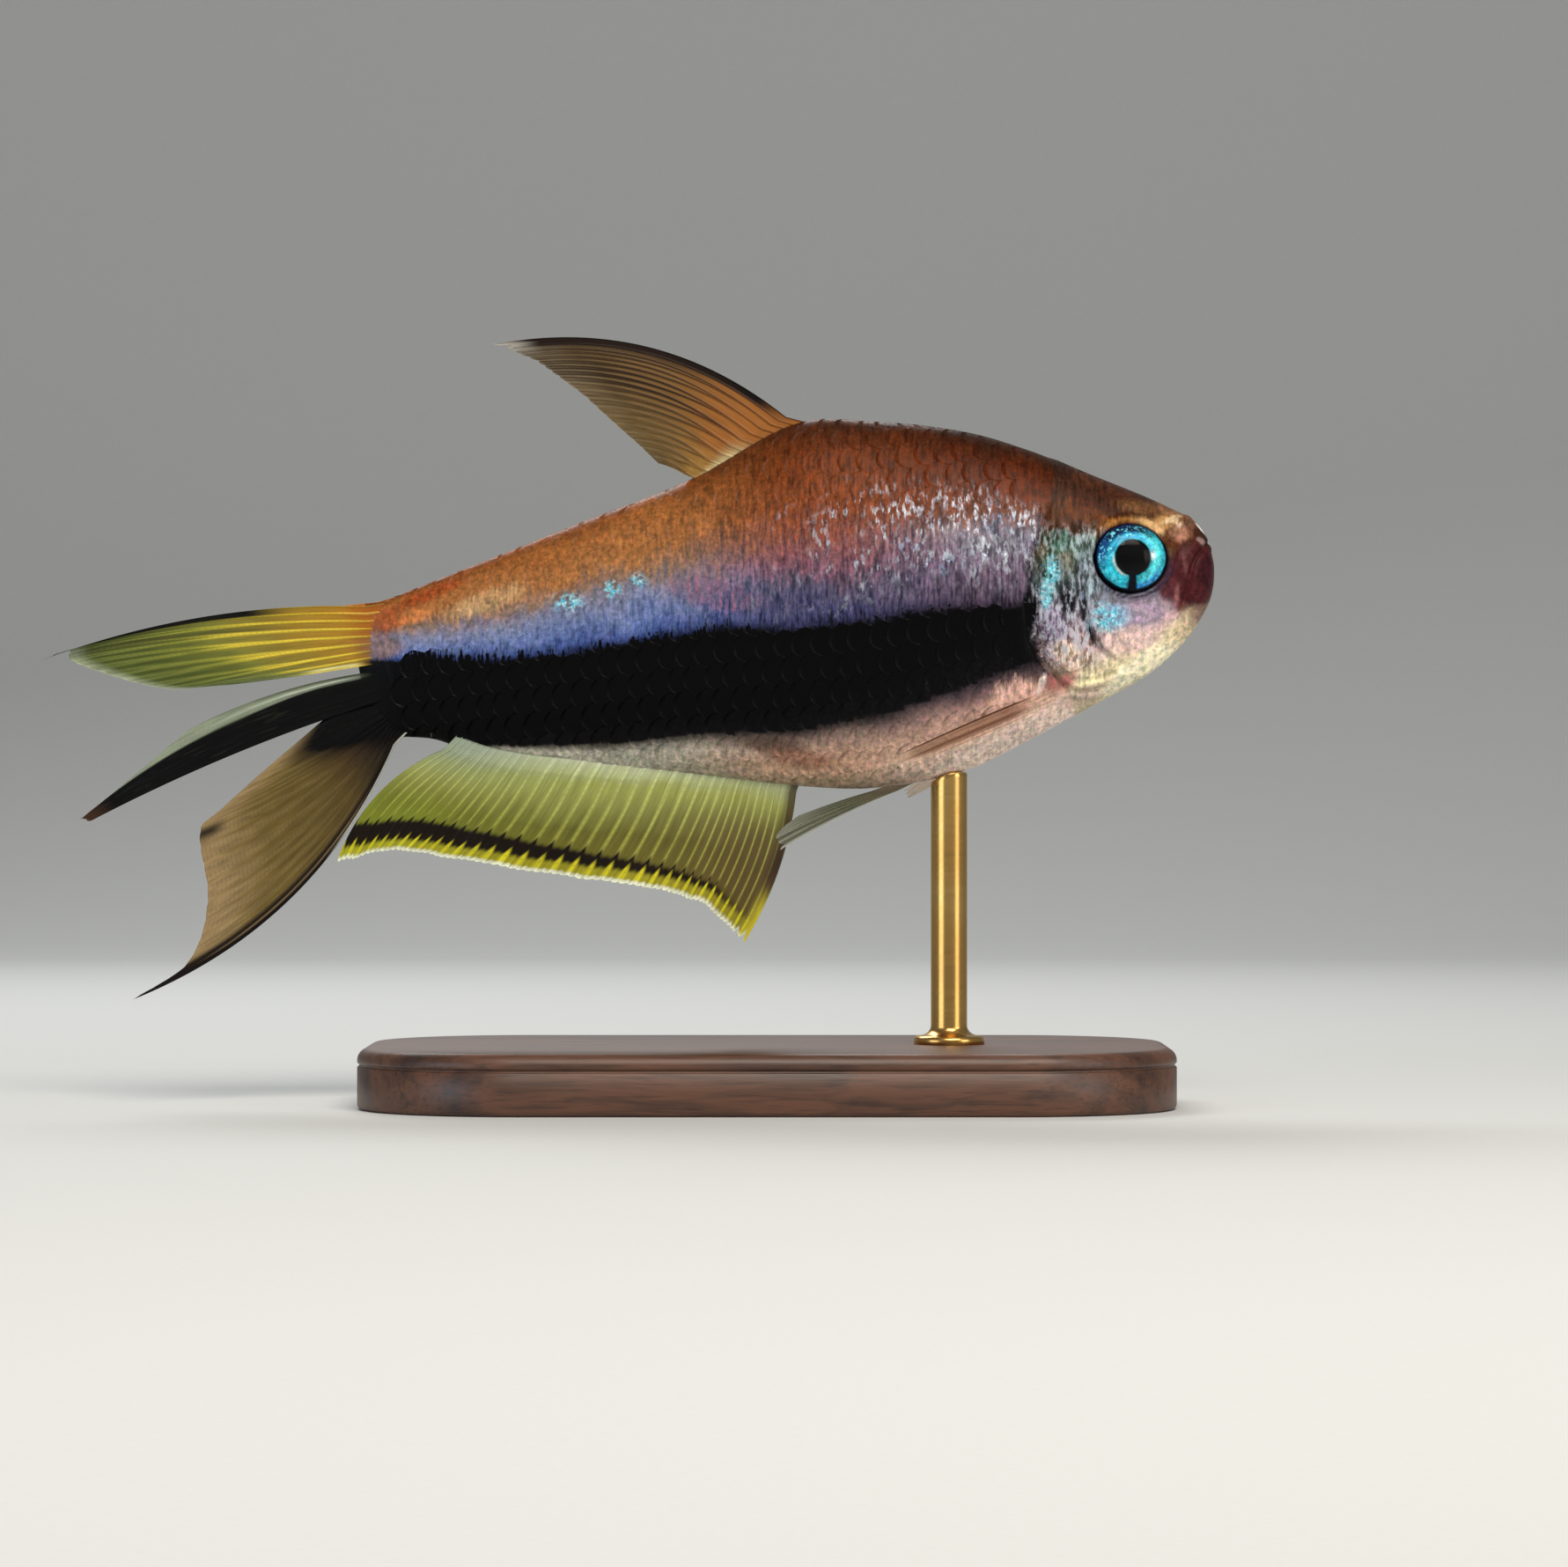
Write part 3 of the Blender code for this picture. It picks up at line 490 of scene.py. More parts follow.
def stroke_cover(behind, up, spot, size, turn):
    """How fully one soft stroke covers each place, from 1 in its middle to 0 outside it."""
    turn = math.radians(turn)
    along, across = behind - spot[0], up - spot[1]
    x = along * math.cos(turn) + across * math.sin(turn)
    y = across * math.cos(turn) - along * math.sin(turn)
    return ease(1.0, STROKE_HARD, np.hypot(x / size[0], y / size[1]))


def trim(behind, up):
    """Softness of the band's edge in millimetres, silver flecks, and head or body, in rows."""
    top, bottom = band_edges(behind)
    lower = ease(0.4, -0.4, up - (top + bottom) / 2)
    front = ease(26, 10, behind)
    soft = 0.14 + 0.10 * front + lower * (0.20 + 1.05 * front)
    q = np.clip((chart(behind, up)[..., 1] - 0.6) / 0.4, -1, 1)
    high = q + 0.12 * ease(11, 8, behind)
    silver = ease(0.06, 0.34, q) * ease(0.75, 0.53, high) * ease(26.5, 14.5, behind)
    silver += 0.55 * ease(0.0, 0.08, q) * ease(0.35, 0.15, q) * ease(13, 24, behind)
    opening = behind_opening(behind, up)
    head = ease(0.12, -0.12, opening)
    cheek = head * ease(5.0, 6.2, behind) * ease(2.2, 1.2, up) * ease(-5.6, -4.2, up)
    cheek = cheek * (0.95 - 0.50 * ease(-2.2, -0.2, up))
    return np.stack([soft, np.clip(silver * (1 - head) + cheek, 0, 1), head], -1)


def lustre(behind, up):
    """How streaky the skin is, how much it glints and how dark its gaps are, one row for each point."""
    head = ease(0.3, -0.3, behind_opening(behind, up))
    cheek = ease(4.9, 6.3, behind) * ease(2.6, 1.6, up) * ease(-5.8, -4.6, up)
    face = head * (1 - cheek) * ease(6.5, 3.5, behind)
    streaks = (1 - 0.75 * face) * (1 - 0.65 * ease(19, 31, behind))
    streaks = streaks * (1 - 0.6 * ease(-0.4, -1.8, up - band_edges(behind)[1]))
    streaks = streaks * (1 - stroke_cover(behind, up, JAW_SPOT, JAW_SIZE, JAW_TURN))
    glint = np.zeros(np.shape(behind))
    for spot, size in GLINTS:
        glint = np.maximum(glint, stroke_cover(behind, up, spot, size, 0))
    return np.stack([streaks, glint, head * cheek], -1)


print("streaks, glint and dark gaps on the cheek and the flank:")
print(lustre(np.array([7.0, 15.0]), np.array([-2.0, -1.0])).round(2))

# %% [markdown]
# ## Soft brush strokes
# The head, and a few places on the body, have patches that follow no band: a maroon snout, a gold brow,
# cream jaws, rust on the tail root. A model maker lays these with an airbrush, one soft patch over another.
# The same is done here in numbers. Each stroke has a place, two half sizes, a turn, a colour and a
# strength. They end in one painted attribute, a colour with its cover as alpha, which the shader lays over
# the chart colours. A paint function gives its layers from the lowest to the highest, each a cover and a
# colour.

# %% Strokes on head and body
# A few strokes are painted light and shade: highlights on the snout ridge, behind the cover and under the
# tail root, shade on the temple and behind the cheek.
# Name, place (behind, up), half sizes, turn in degrees from level, colour, strength.
STROKES = (
    ("brown nape", (5.4, 3.75), (3.1, 1.00), 24, "#3e2113", 0.85),
    ("orange temple", (6.7, 2.40), (1.9, 0.90), 22, "#5c3014", 0.72),
    ("green silver temple", (7.8, 1.00), (1.2, 0.95), 4, "#4a685c", 0.75),
    ("light silver temple", (6.5, 0.60), (1.20, 1.35), 0, "#86a09c", 0.68),
    ("lilac silver behind the eye", (6.25, -0.85), (0.90, 1.5), -8, "#9aaab4", 0.78),
    ("teal edge of the cover", (8.20, -0.70), (0.62, 1.50), 0, "#4f8f8e", 0.75),
    ("grey brown bridge", (1.9, 2.45), (1.9, 0.60), 30, "#6b4a36", 0.85),
    ("maroon snout", (1.10, -0.72), (2.30, 2.70), 0, "#43191d", 1.0),
    ("tan before the eye", (2.55, 1.95), (1.10, 0.60), -16, "#b48654", 0.72),
    ("cream before the eye", (2.20, 2.12), (0.70, 0.22), -24, "#dcc49c", 0.62),
    ("cream nostril rim", (1.90, 1.95), (0.22, 0.46), -25, "#d9c4a8", 0.70),
    ("pink tan before the nostril", (1.78, 1.42), (0.85, 0.62), -10, "#a6765e", 0.62),
    ("gold brown above the brow", (3.60, 2.60), (1.9, 0.60), 10, "#7e5836", 0.42),
    # Rust darkened with painted shade on the temple.
    ("rust in painted shade on the temple", (6.60, 2.75), (0.95, 0.60), 20, "#431d0d", 0.60),
    ("grey upper lip", (0.72, 1.05), (0.40, 0.22), 45, "#7d6864", 0.75),
    # A painted highlight along the ridge of the snout.
    ("painted highlight on the ridge of the snout", (0.68, 1.68), (0.52, 0.11), 50, "#e9e2dc", 0.80),
    ("dark front of the snout", (0.45, -0.40), (0.60, 1.20), 0, "#2b1118", 0.70),
    ("rose streak on the maxilla", (2.02, -1.70), (0.20, 0.85), 8, "#9a6464", 0.65),
    ("rose streak on the snout", (1.58, -0.10), (0.16, 0.80), -6, "#7a4a48", 0.55),
    ("lilac cheek", (3.70, -2.55), (2.0, 1.15), -6, "#a08fa2", 0.80),
    ("maroon before the cheek", (2.50, -1.30), (0.80, 0.95), -20, "#5a2e34", 0.66),
    ("maroon tongue below the snout", (1.75, -2.20), (0.40, 0.42), 20, "#6e3c3a", 0.60),
    ("pale blue below the eye", (5.10, -2.70), (1.2, 0.95), 0, "#84a6c6", 0.75),
    ("pink cream cheek", (4.2, -3.90), (2.2, 1.0), -8, "#e0c2ba", 0.80),
    ("cream jaw", (3.7, -5.25), (3.2, 0.95), -34, "#fff8d4", 1.0),
    ("cream chin", (1.45, -3.10), (1.35, 0.95), -48, "#d3bf9e", 0.80),
    ("grey edge of the jaw", (3.9, -6.05), (2.5, 0.50), -30, "#b0a68e", 0.60),
    ("lilac gill cover", (8.05, -3.15), (1.15, 1.70), 0, "#948aa0", 0.80),
    ("cream foot of the cover", (7.25, -4.50), (1.35, 0.85), 24, "#ead0bc", 0.85),
    # Painted shadow in the groove behind the cheek.
    ("painted shadow behind the cheek", (7.40, -1.90), (0.62, 1.45), -8, "#17131c", 0.82),
    ("red gill chamber", (7.70, -5.85), (1.40, 0.90), -20, "#a85e5e", 0.62),
    ("throat", (6.6, -6.60), (1.9, 0.75), -22, "#cbb4a4", 0.70),
    # A painted highlight behind the gill cover.
    ("painted shine behind the cover", (8.62, -6.00), (0.24, 0.85), 18, "#ecdad4", 0.90),
    ("pink breast", (10.0, -6.6), (2.0, 1.5), -20, "#e2b6a6", 0.62),
    ("pale edge of the belly", (12.0, -9.75), (3.8, 0.85), -24, "#ecd8ca", 0.90),
    ("dusk below the band", (21.9, -8.95), (2.8, 0.65), 3, "#4c3a30", 0.62),
    ("red above the anal fin", (20.4, -9.75), (2.9, 0.75), 6, "#80503c", 0.54),
    ("dusk on the flank", (19.0, 0.10), (2.4, 1.0), 8, "#5a444e", 0.34),
    ("rose flank", (24.8, -1.60), (4.4, 1.30), 10, "#784a5c", 0.46),
    ("brown lower lip", (0.80, -2.55), (0.75, 0.60), -50, "#80665a", 0.75),
    ("golden tan of the tail root", (36.0, -1.90), (3.8, 0.95), -20, "#bb9a6c", 0.56),
    ("orange tan of the tail root", (39.5, -2.62), (1.6, 0.55), -16, "#c47a44", 0.66),
    ("rust on the ridge of the tail root", (38.8, -1.50), (3.0, 0.55), -22, "#8e431e", 0.75),
    ("rust end of the tail root", (41.0, -2.85), (1.4, 0.95), -20, "#8e4a28", 0.72),
    ("orange root of the tail", (42.7, -2.60), (1.5, 1.20), -28, "#bd7a30", 0.75),
    ("warm grey end of the blue line", (41.2, -4.15), (1.9, 0.95), -6, "#786669", 0.82),
    # A painted highlight on the underside of the tail root.
    ("painted highlight under the tail root", (38.9, -8.60), (0.95, 0.15), -28, "#e9e6e2", 0.85),
)
print(len(STROKES), "strokes")

# %% Layers of paint
def lay(paint, cover, code):
    """Lays one colour over the painted attribute, where cover says."""
    cover = np.clip(cover, 0, 1)[..., None]
    alpha = cover + paint[..., 3:] * (1 - cover)
    mixed = linear(code) * cover + paint[..., :3] * paint[..., 3:] * (1 - cover)
    paint[..., :3] = np.where(alpha > 1e-5, mixed / np.maximum(alpha, 1e-5), paint[..., :3])
    paint[..., 3:] = alpha


def layered(shape, layers):
    """The painted attribute that a set of layers gives."""
    paint = np.zeros((*shape, 4))
    paint[..., :3] = linear("#7a5c50")
    for cover, code in layers:
        lay(paint, cover, code)
    return paint


def brushwork(behind, up):
    """The layers of skin, scales and gill covers."""
    for _, spot, size, turn, code, strength in STROKES:
        yield strength * stroke_cover(behind, up, spot, size, turn), code
    past_eye = eye_distance(behind, up) - EYE_RADIUS
    rise = np.arctan2(up - EYE_UP, EYE_BEHIND - behind)
    brow = bump(past_eye - 0.20, 0.24) * ease(0.40, 0.80, np.sin(rise))
    yield 0.60 * brow, "#94602a"
    yield 0.60 * brow * ease(-0.15, 0.75, np.cos(rise)), "#dfbc88"
    yield 0.75 * bump(past_eye - 0.16, 0.14) * ease(0.2, -0.5, np.sin(rise)), "#2a2638"
    # Dark lines along the preopercle and the gill opening: painted shadow in their grooves.
    for line, wide in ((PREOPERCLE, 0.26), (GILL_OPENING, 0.16)):
        away, share = line_distance(line, behind, up)
        cover = bump(away, wide) * np.sin(np.pi * share) ** 0.5 * ease(2.6, 1.2, up)
        yield 0.8 * cover * ease(-5.2, -3.8, up), "#17121d"
    yield ease(0.07, -0.07, past_eye), "#0b0d1c"


print(sum(1 for layer in brushwork(0.0, 0.0)), "layers on the skin")

# %% [markdown]
# ## Fish skin: guanine under pigment
# A tetra's skin is clear, with pigment cells over a layer of guanine crystals, a living silver leaf, all
# wet with slime. Its finish is a dielectric of about IOR 1.38 with a thin gloss coat. The crystals are
# drawn as flecks that turn metallic. They stand on edge in the scales, so the flank shows fine upright
# streaks, about 0.11 mm wide and 0.55 mm long, in the photograph. They are noise stretched by those sizes.
# Three ramps hold the colours from belly to back, for the shoulder, the middle and the tail root, and a
# fourth holds the head.

# %% Colours from belly to back
# Colours from the edge of the belly up to the band, then from the band up to the ridge of the back.
SHOULDER_BELOW = (
    (0.00, "#e8d4c8"), (0.28, "#f6dccc"), (0.50, "#e4c0ac"), (0.64, "#c09a8c"), (0.78, "#846866"),
    (0.90, "#4e4046"), (1.00, "#2c242a"),
)
SHOULDER_ABOVE = (
    (0.00, "#211b27"), (0.10, "#4a3e50"), (0.24, "#665668"), (0.42, "#74707e"), (0.54, "#714a3c"),
    (0.68, "#5a2812"), (0.84, "#481c06"), (1.00, "#2a1608"),
)
MIDDLE_BELOW = (
    (0.00, "#a99a80"), (0.35, "#c49c82"), (0.70, "#967e72"), (0.90, "#453c3a"), (1.00, "#1a1716"),
)
MIDDLE_ABOVE = (
    (0.00, "#191a30"), (0.08, "#3a3b60"), (0.20, "#514a60"), (0.32, "#744a56"), (0.46, "#794436"),
    (0.62, "#743a1a"), (0.84, "#5e2a0c"), (1.00, "#3c1d0c"),
)
TAIL_BELOW = ((0.00, "#a8a593"), (0.60, "#b0ad9d"), (0.86, "#57544c"), (1.00, "#1b1a18"))
TAIL_ABOVE = (
    (0.00, "#1a2448"), (0.06, "#3c4f8a"), (0.20, "#5f709f"), (0.34, "#747a97"), (0.48, "#80695c"),
    (0.62, "#96643a"), (0.84, "#8e582c"), (1.00, "#703c1a"),
)
HEAD_RAMP = (
    (0.00, "#cbbd9c"), (0.12, "#e8dcb0"), (0.26, "#cfaeae"), (0.41, "#938797"), (0.52, "#6a7a80"),
    (0.63, "#5a5840"), (0.73, "#553018"), (0.86, "#3c2012"), (1.00, "#2a1a12"),
)


def level_ramp(below, above):
    """The stops of a level ramp, with the band's black in its middle."""
    black = [(0.44, "#0c0b0e"), (0.56, "#0c0b0e")]
    return [(0.4 * p, code) for p, code in below] + black + [(0.6 + 0.4 * p, code) for p, code in above]


print("stops of the longest ramp:", len(level_ramp(SHOULDER_BELOW, SHOULDER_ABOVE)))

# %% Finish of skin and scales
TISSUE_IOR = 1.38
STREAK_WIDE, STREAK_LONG = 0.11, 0.55
STREAK_LEAN = 7  # degrees
FLECK_WIDE, FLECK_LONG = 0.16, 0.4
GRAIN = 0.09


def skin_finish(name, roughness):
    made, shader, add = new_finish(name, {
        "Roughness": roughness, "IOR": TISSUE_IOR, "Specular IOR Level": 0.10, "Coat Weight": 0.03,
        "Coat Roughness": 0.25, "Coat IOR": 1.34})
    in_mm = in_millimetres(add)
    lean = add("Mapping", {"Vector": in_mm, "Rotation": (0, math.radians(STREAK_LEAN), 0),
                           "Scale": (1 / STREAK_WIDE, 1 / STREAK_LONG, 1 / STREAK_LONG)})
    streak = add("TexNoise", (lean, 0.62, 2.0, 0.6))
    grain = add("TexNoise", (in_mm, 0.62 / GRAIN, 1.0))
    patch = add("TexNoise", (in_mm, 0.45, 3.0))

    (along, level, inside), (soft, silver, head), (edge, tone, share), (streaky, glint, gaps) = [
        add("SeparateXYZ", (add("Attribute " + key).outputs["Vector"],)).outputs
        for key in ("chart", "trim", "scale_form", "lustre")]

    # A little noise in the level makes the borders of the colours break up, as pigment cells do.
    ragged = add("Math MULTIPLY_ADD", (streak, 0.11, -0.055))
    cloudy = add("Math MULTIPLY_ADD", (patch, 0.10, -0.05))
    moved = add("Math ADD", (add("Math ADD", (level, ragged)), cloudy))
    shoulder, middle, tail = [add("ValToRGB", (moved,), level_ramp(*pair)) for pair in (
        (SHOULDER_BELOW, SHOULDER_ABOVE), (MIDDLE_BELOW, MIDDLE_ABOVE), (TAIL_BELOW, TAIL_ABOVE))]
    head_level = add("Math ADD", (share, ragged))
    head_ramp = add("ValToRGB", (head_level,), HEAD_RAMP)
    to_middle = add("MapRange SMOOTHSTEP", (along, 0.26, 0.45))
    to_tail = add("MapRange SMOOTHSTEP", (along, 0.48, 0.68))
    colour = add("Mix RGBA", (to_middle, shoulder, middle))
    colour = add("Mix RGBA", (to_tail, colour, tail))
    colour = add("Mix RGBA", (head, colour, head_ramp))

    # Painted strokes get ragged borders from the streaks, as patches of pigment cells have.
    brush = add("Attribute brush")
    cover = add("Math MULTIPLY_ADD", (streak, 1.1, -0.55))
    rag = add("MapRange", (streaky, 0.25, 0.7, 0.4, 1.0))
    cover = add("Math MULTIPLY_ADD", (cover, rag, brush.outputs["Alpha"]))
    cover = add("MapRange SMOOTHSTEP", (cover, 0.18, 0.84))
    colour = add("Mix RGBA", (cover, colour, brush.outputs["Color"]))

    # Light and shade of the streaks and the grain, then the darker hind rim of each scale.
    shade = add("MapRange", (streak, 0.34, 0.66, 0.46, 1.54))
    mosaic = add("TexNoise", (in_mm, 3.4, 2.0, 0.6))
    mottle = add("MapRange", (mosaic, 0.32, 0.68, 0.80, 1.20))
    shade = add("Mix", (streaky, mottle, shade))
    blotch = add("MapRange", (mosaic, 0.34, 0.66, 0.86, 1.14))
    fine = add("MapRange", (grain, *NOISE, 0.82, 1.16))
    rim = add("MapRange", (edge, 0.72, 1.0, 1.0, 0.95))
    light = shade
    for factor in (blotch, fine, rim, tone):
        light = add("Math MULTIPLY", (light, factor))
    colour = add("VectorMath SCALE", (colour, light))
    # Neighbouring cells differ a little in hue too.
    hue = add("VectorMath MULTIPLY_ADD", (mosaic.outputs["Color"], (0.36,) * 3, (0.82,) * 3))
    colour = add("VectorMath MULTIPLY", (colour, hue))

    # Silver flecks: where a stretched noise is high and the chart allows silver.
    spark = add("Mapping", {"Vector": in_mm, "Rotation": (0, math.radians(STREAK_LEAN), 0),
                            "Location": (3.7, 1.1, 5.3),
                            "Scale": (1 / FLECK_WIDE, 1 / FLECK_LONG, 1 / FLECK_LONG)})
    spark = add("TexNoise", (spark, 0.75, 2.5, 0.65))
    fleck = add("MapRange", (spark, 0.50, 0.66))
    fleck = add("Math MULTIPLY", (fleck, silver), use_clamp=True)
    # They stand in clusters, closer together towards the gill cover.
    cluster = add("TexNoise", (in_mm, 0.85, 1.0))
    cluster = add("Math SUBTRACT", (cluster, along))
    cluster = add("MapRange", (cluster, 0.06, 0.20, 0.10, 1.0))
    fleck = add("Math MULTIPLY", (fleck, cluster))
    # On the cheek and the gill cover the skin between the flecks is dark.
    gap = add("MapRange", (spark, 0.52, 0.40))
    gap = add("Math MULTIPLY_ADD", (add("Math MULTIPLY", (gap, gaps)), -0.72, 1.0))
    colour = add("VectorMath SCALE", (colour, gap))
    leaf = add("ValToRGB", (patch,), ((0.35, "#8f9db8"), (0.5, "#c6ccd6"), (0.65, "#aab3c4")))
    colour = add("Mix RGBA", (fleck, colour, leaf))
    shine = add("MapRange", (mosaic, 0.42, 0.56))
    shine = add("Math MULTIPLY", (shine, glint), use_clamp=True)
    gleam = add("ValToRGB", (grain,), ((0.35, "#3f9fc0"), (0.55, "#7fd0dc"), (0.7, "#d3eef0")))
    colour = add("Mix RGBA", (shine, colour, gleam))

    # The black band, its border broken by the streaks.
    border = add("Math MULTIPLY_ADD", (streak, 1.3, -0.65))
    border = add("Math ADD", (border, inside))
    border = add("Math DIVIDE", (border, soft))
    speck = add("Math MULTIPLY_ADD", (grain, 3.0, -1.5))
    border = add("Math ADD", (border, speck))
    black = add("MapRange SMOOTHSTEP", (border, -1.0, 1.0))
    colour = add("Mix RGBA", (black, colour, (*linear("#020203"), 1)))

    metal = add("Math MULTIPLY", (fleck, 0.45))
    rough = add("MapRange", (grain, *NOISE, roughness - 0.07, roughness + 0.09))
    height = add("Math ADD", (streak, grain))
    relief = add("Bump", {"Strength": 0.55, "Distance": 0.018 * MM, "Height": height})
    wire(shader, {"Base Color": colour, "Metallic": metal, "Roughness": rough, "Normal": relief})
    return made


fish_skin = skin_finish("fish_skin_guanine_and_pigment", 0.40)
print(len(fish_skin.node_tree.nodes), "nodes in the skin's finish")

# %% [markdown]
# ## One skin over head, body and tail root
# The three flesh solids meet at thin gaps, which a real fish doesn't have. One closed skin takes their
# place. It is a grid of rings, closer together on the head, where the face needs them, than on the flank,
# where scales will lie. Its last rings taper to a thin edge, so that the tail fin grows out of the flesh.

# %% Rings of the skin
AROUND = 280
HEAD_STEP, BODY_STEP = 0.088, 0.19  # spacing of the rings
HEAD_END = 9.6
COAT_DEPTH = 0.05  # how far the skin lies below the solids where scales cover it
TAIL_TOP, TAIL_BOTTOM = (41.5, -1.9), (40.25, -8.65)


def ring_places():
    """Distances of the rings behind the snout, so that no two are further apart than their step."""
    fine = np.linspace(BODY_STATIONS[0][0], TAIL_TOP[0], 6000)
    values = np.stack([fine, *section(fine)[:3]], -1)
    moved = np.abs(np.diff(values, axis=0)).max(1)
    step = np.where(fine[1:] < HEAD_END, HEAD_STEP, BODY_STEP)
    travelled = np.concatenate([[0], np.cumsum(moved / step)])
    return np.interp(np.arange(int(travelled[-1]) + 1), travelled, fine)


def lean_back(behind, up):
    """Moves rings near the tail, so that the last one lies along the slanting end of the flesh."""
    share = (TAIL_TOP[1] - up) / (TAIL_TOP[1] - TAIL_BOTTOM[1])
    return behind - ease(36, TAIL_TOP[0], behind) * share * (TAIL_TOP[0] - TAIL_BOTTOM[0])


rings = ring_places()
behind, angle = np.meshgrid(rings, np.linspace(0, math.tau, AROUND, endpoint=False), indexing="ij")
behind = lean_back(behind, ring_point(behind, angle)[..., 2] - SNOUT_Z)
surface = ring_point(behind, angle)
up = surface[..., 2] - SNOUT_Z
depth = COAT_DEPTH * ease(-0.1, 0.4, behind_opening(behind, up))
form = face_form(behind, up) - depth
points = surface + skin_normal(behind, angle) * form[..., None]
print(f"{len(rings)} rings, from {rings[0]:.2f} to {behind.max():.2f} mm behind the snout")

# %% Nose and tail end
TAIL_TAPER, TAPER_RINGS = 1.5, 12  # the thin end of the flesh over the roots of the tail fin

# The nose is closed by shrinking rings, the tail root by tapering ones.
nose = world(0.0, NOSE_LEVEL, 0.0)
caps = [nose + (points[0] - nose) * np.array([1 - (1 - f) ** 0.5, f, f]) for f in (0.15, 0.4, 0.7)]
ends, end_places = [], []
for share in np.linspace(0, 1, TAPER_RINGS + 1)[1:]:
    end = points[-1].copy()
    middle = sway(behind[-1])
    end[:, 1] = middle + (end[:, 1] - middle) * max((1 - share) ** 1.2, 0.02)
    end[:, 0] -= TAIL_TAPER * share
    end[:, 2] += (end[:, 2].mean() - end[:, 2]) * 0.05 * share
    ends.append(end)
    end_places.append(behind[-1] + TAIL_TAPER * share)
points = np.concatenate([caps, points, ends])
behind = np.concatenate([[behind[0] * f for f in (0.1, 0.4, 0.8)], behind, end_places])
up = points[..., 2] - SNOUT_Z
rows = len(points)
print(rows, "rings with the ends")

# %% Attributes of the skin
TAIL_END = (41.6, -5.3)


def shares(behind, up):
    """Height between belly and back, for the colours of the head."""
    back, belly = section(behind)[:2]
    return (up - belly) / np.maximum(back - belly, 0.2)


def skin_paint(behind, up, edge=0.0, tone=1.0):
    """All painted attributes of skin, scales or covers, as flat arrays."""
    ones = np.ones(np.shape(behind))
    form = np.stack([edge * ones, tone * ones, shares(behind, up)], -1)
    found = {"chart": chart(behind, up), "trim": trim(behind, up), "lustre": lustre(behind, up),
             "scale_form": form, "brush": layered(np.shape(behind), brushwork(behind, up))}
    return {key: values.reshape(-1, values.shape[-1]) for key, values in found.items()}


painted = skin_paint(np.append(behind.ravel(), [0.0, TAIL_END[0]]),
                     np.append(up.ravel(), [NOSE_LEVEL, TAIL_END[1]]))
print("attributes:", ", ".join(painted))

# %% Skin and its bake map
UNROLLED, MAP_EDGE = 43.0, 0.02  # the length of the skin on the bake map, and the map's empty edge
faces = grid_faces(rows, AROUND, wrap=True, flip=True).tolist()
first, last = rows * AROUND, rows * AROUND + 1
flat = np.vstack([points.reshape(-1, 3), nose, points[-1].mean(0)])
faces += [((k + 1) % AROUND, k, first) for k in range(AROUND)]
base = (rows - 1) * AROUND
faces += [(base + k, base + (k + 1) % AROUND, last) for k in range(AROUND)]


def skin_uv(behind, turn):
    """The skin unrolled: along the body to the right, around it upwards."""
    return MAP_EDGE + (1 - 2 * MAP_EDGE) * np.stack([behind / UNROLLED, turn / math.tau], -1)


def skin_loop_uv():
    """One place for each face corner, so that the seam along the back doesn't fold over."""
    row, column = np.meshgrid(np.arange(rows - 1), np.arange(AROUND), indexing="ij")
    corners = [(row, column + 1), (row + 1, column + 1), (row + 1, column), (row, column)]
    along = np.clip(behind.mean(1) + 0.5, 0, UNROLLED)
    quads = np.stack([skin_uv(along[r], math.tau * c / AROUND) for r, c in corners], 2).reshape(-1, 2)
    turn = math.tau * np.arange(AROUND) / AROUND
    step = math.tau / AROUND
    fans = []
    for place, centre, ends in ((along[0], 0.2, (step, 0.0)), (along[-1], UNROLLED, (0.0, step))):
        corners = [skin_uv(place + 0 * turn, turn + end) for end in ends]
        corners.append(skin_uv(centre + 0 * turn, turn + step / 2))
        fans.append(np.stack(corners, 1).reshape(-1, 2))
    return np.vstack([quads, *fans])


piece("skin", flat, faces, fish_skin, "body_skin", ("head", "torso", "tail"), painted,
      loop_uv=skin_loop_uv())

# %% [markdown]
# ## Scales
# Emperor tetras carry about 33 scales in a row along the flank, each tucked under the one in front and free
# at its rounded hind edge. Drawing them as bump would be cheap, but real shields catch the light along their
# rims and break the outline. So each scale is a thin closed shell of its own. Rows run level with the middle
# of the flank, one scale pitch apart around the body, and every second row is set half a scale back. A scale
# rises about a fiftieth of a millimetre from root to rim, so that it lies over the next.

# %% Where the scales lie
SCALE_PITCH, ROW_PITCH = 0.94, 1.27  # along the body and around it
SCALE_LONG, SCALE_TALL = 1.95, 1.92
SCALE_ROUND = 0.26  # how much of its length the rounded hind edge takes
SCALE_GRID = 8
SCALE_ROWS = range(-9, 10)
FIRST_SCALE, LAST_SCALE = 9.15, 41.0
FLANK_LINE = ((8.9, -1.3), (16.9, -2.4), (26.0, -3.2), (34.0, -4.3), (42.0, -5.3))
ARC_SAMPLES = 72
RIDGE_ROOM, PAST_RIDGE = 0.08, 2.2  # the room that takes all that is nearer a ridge, and how far past it


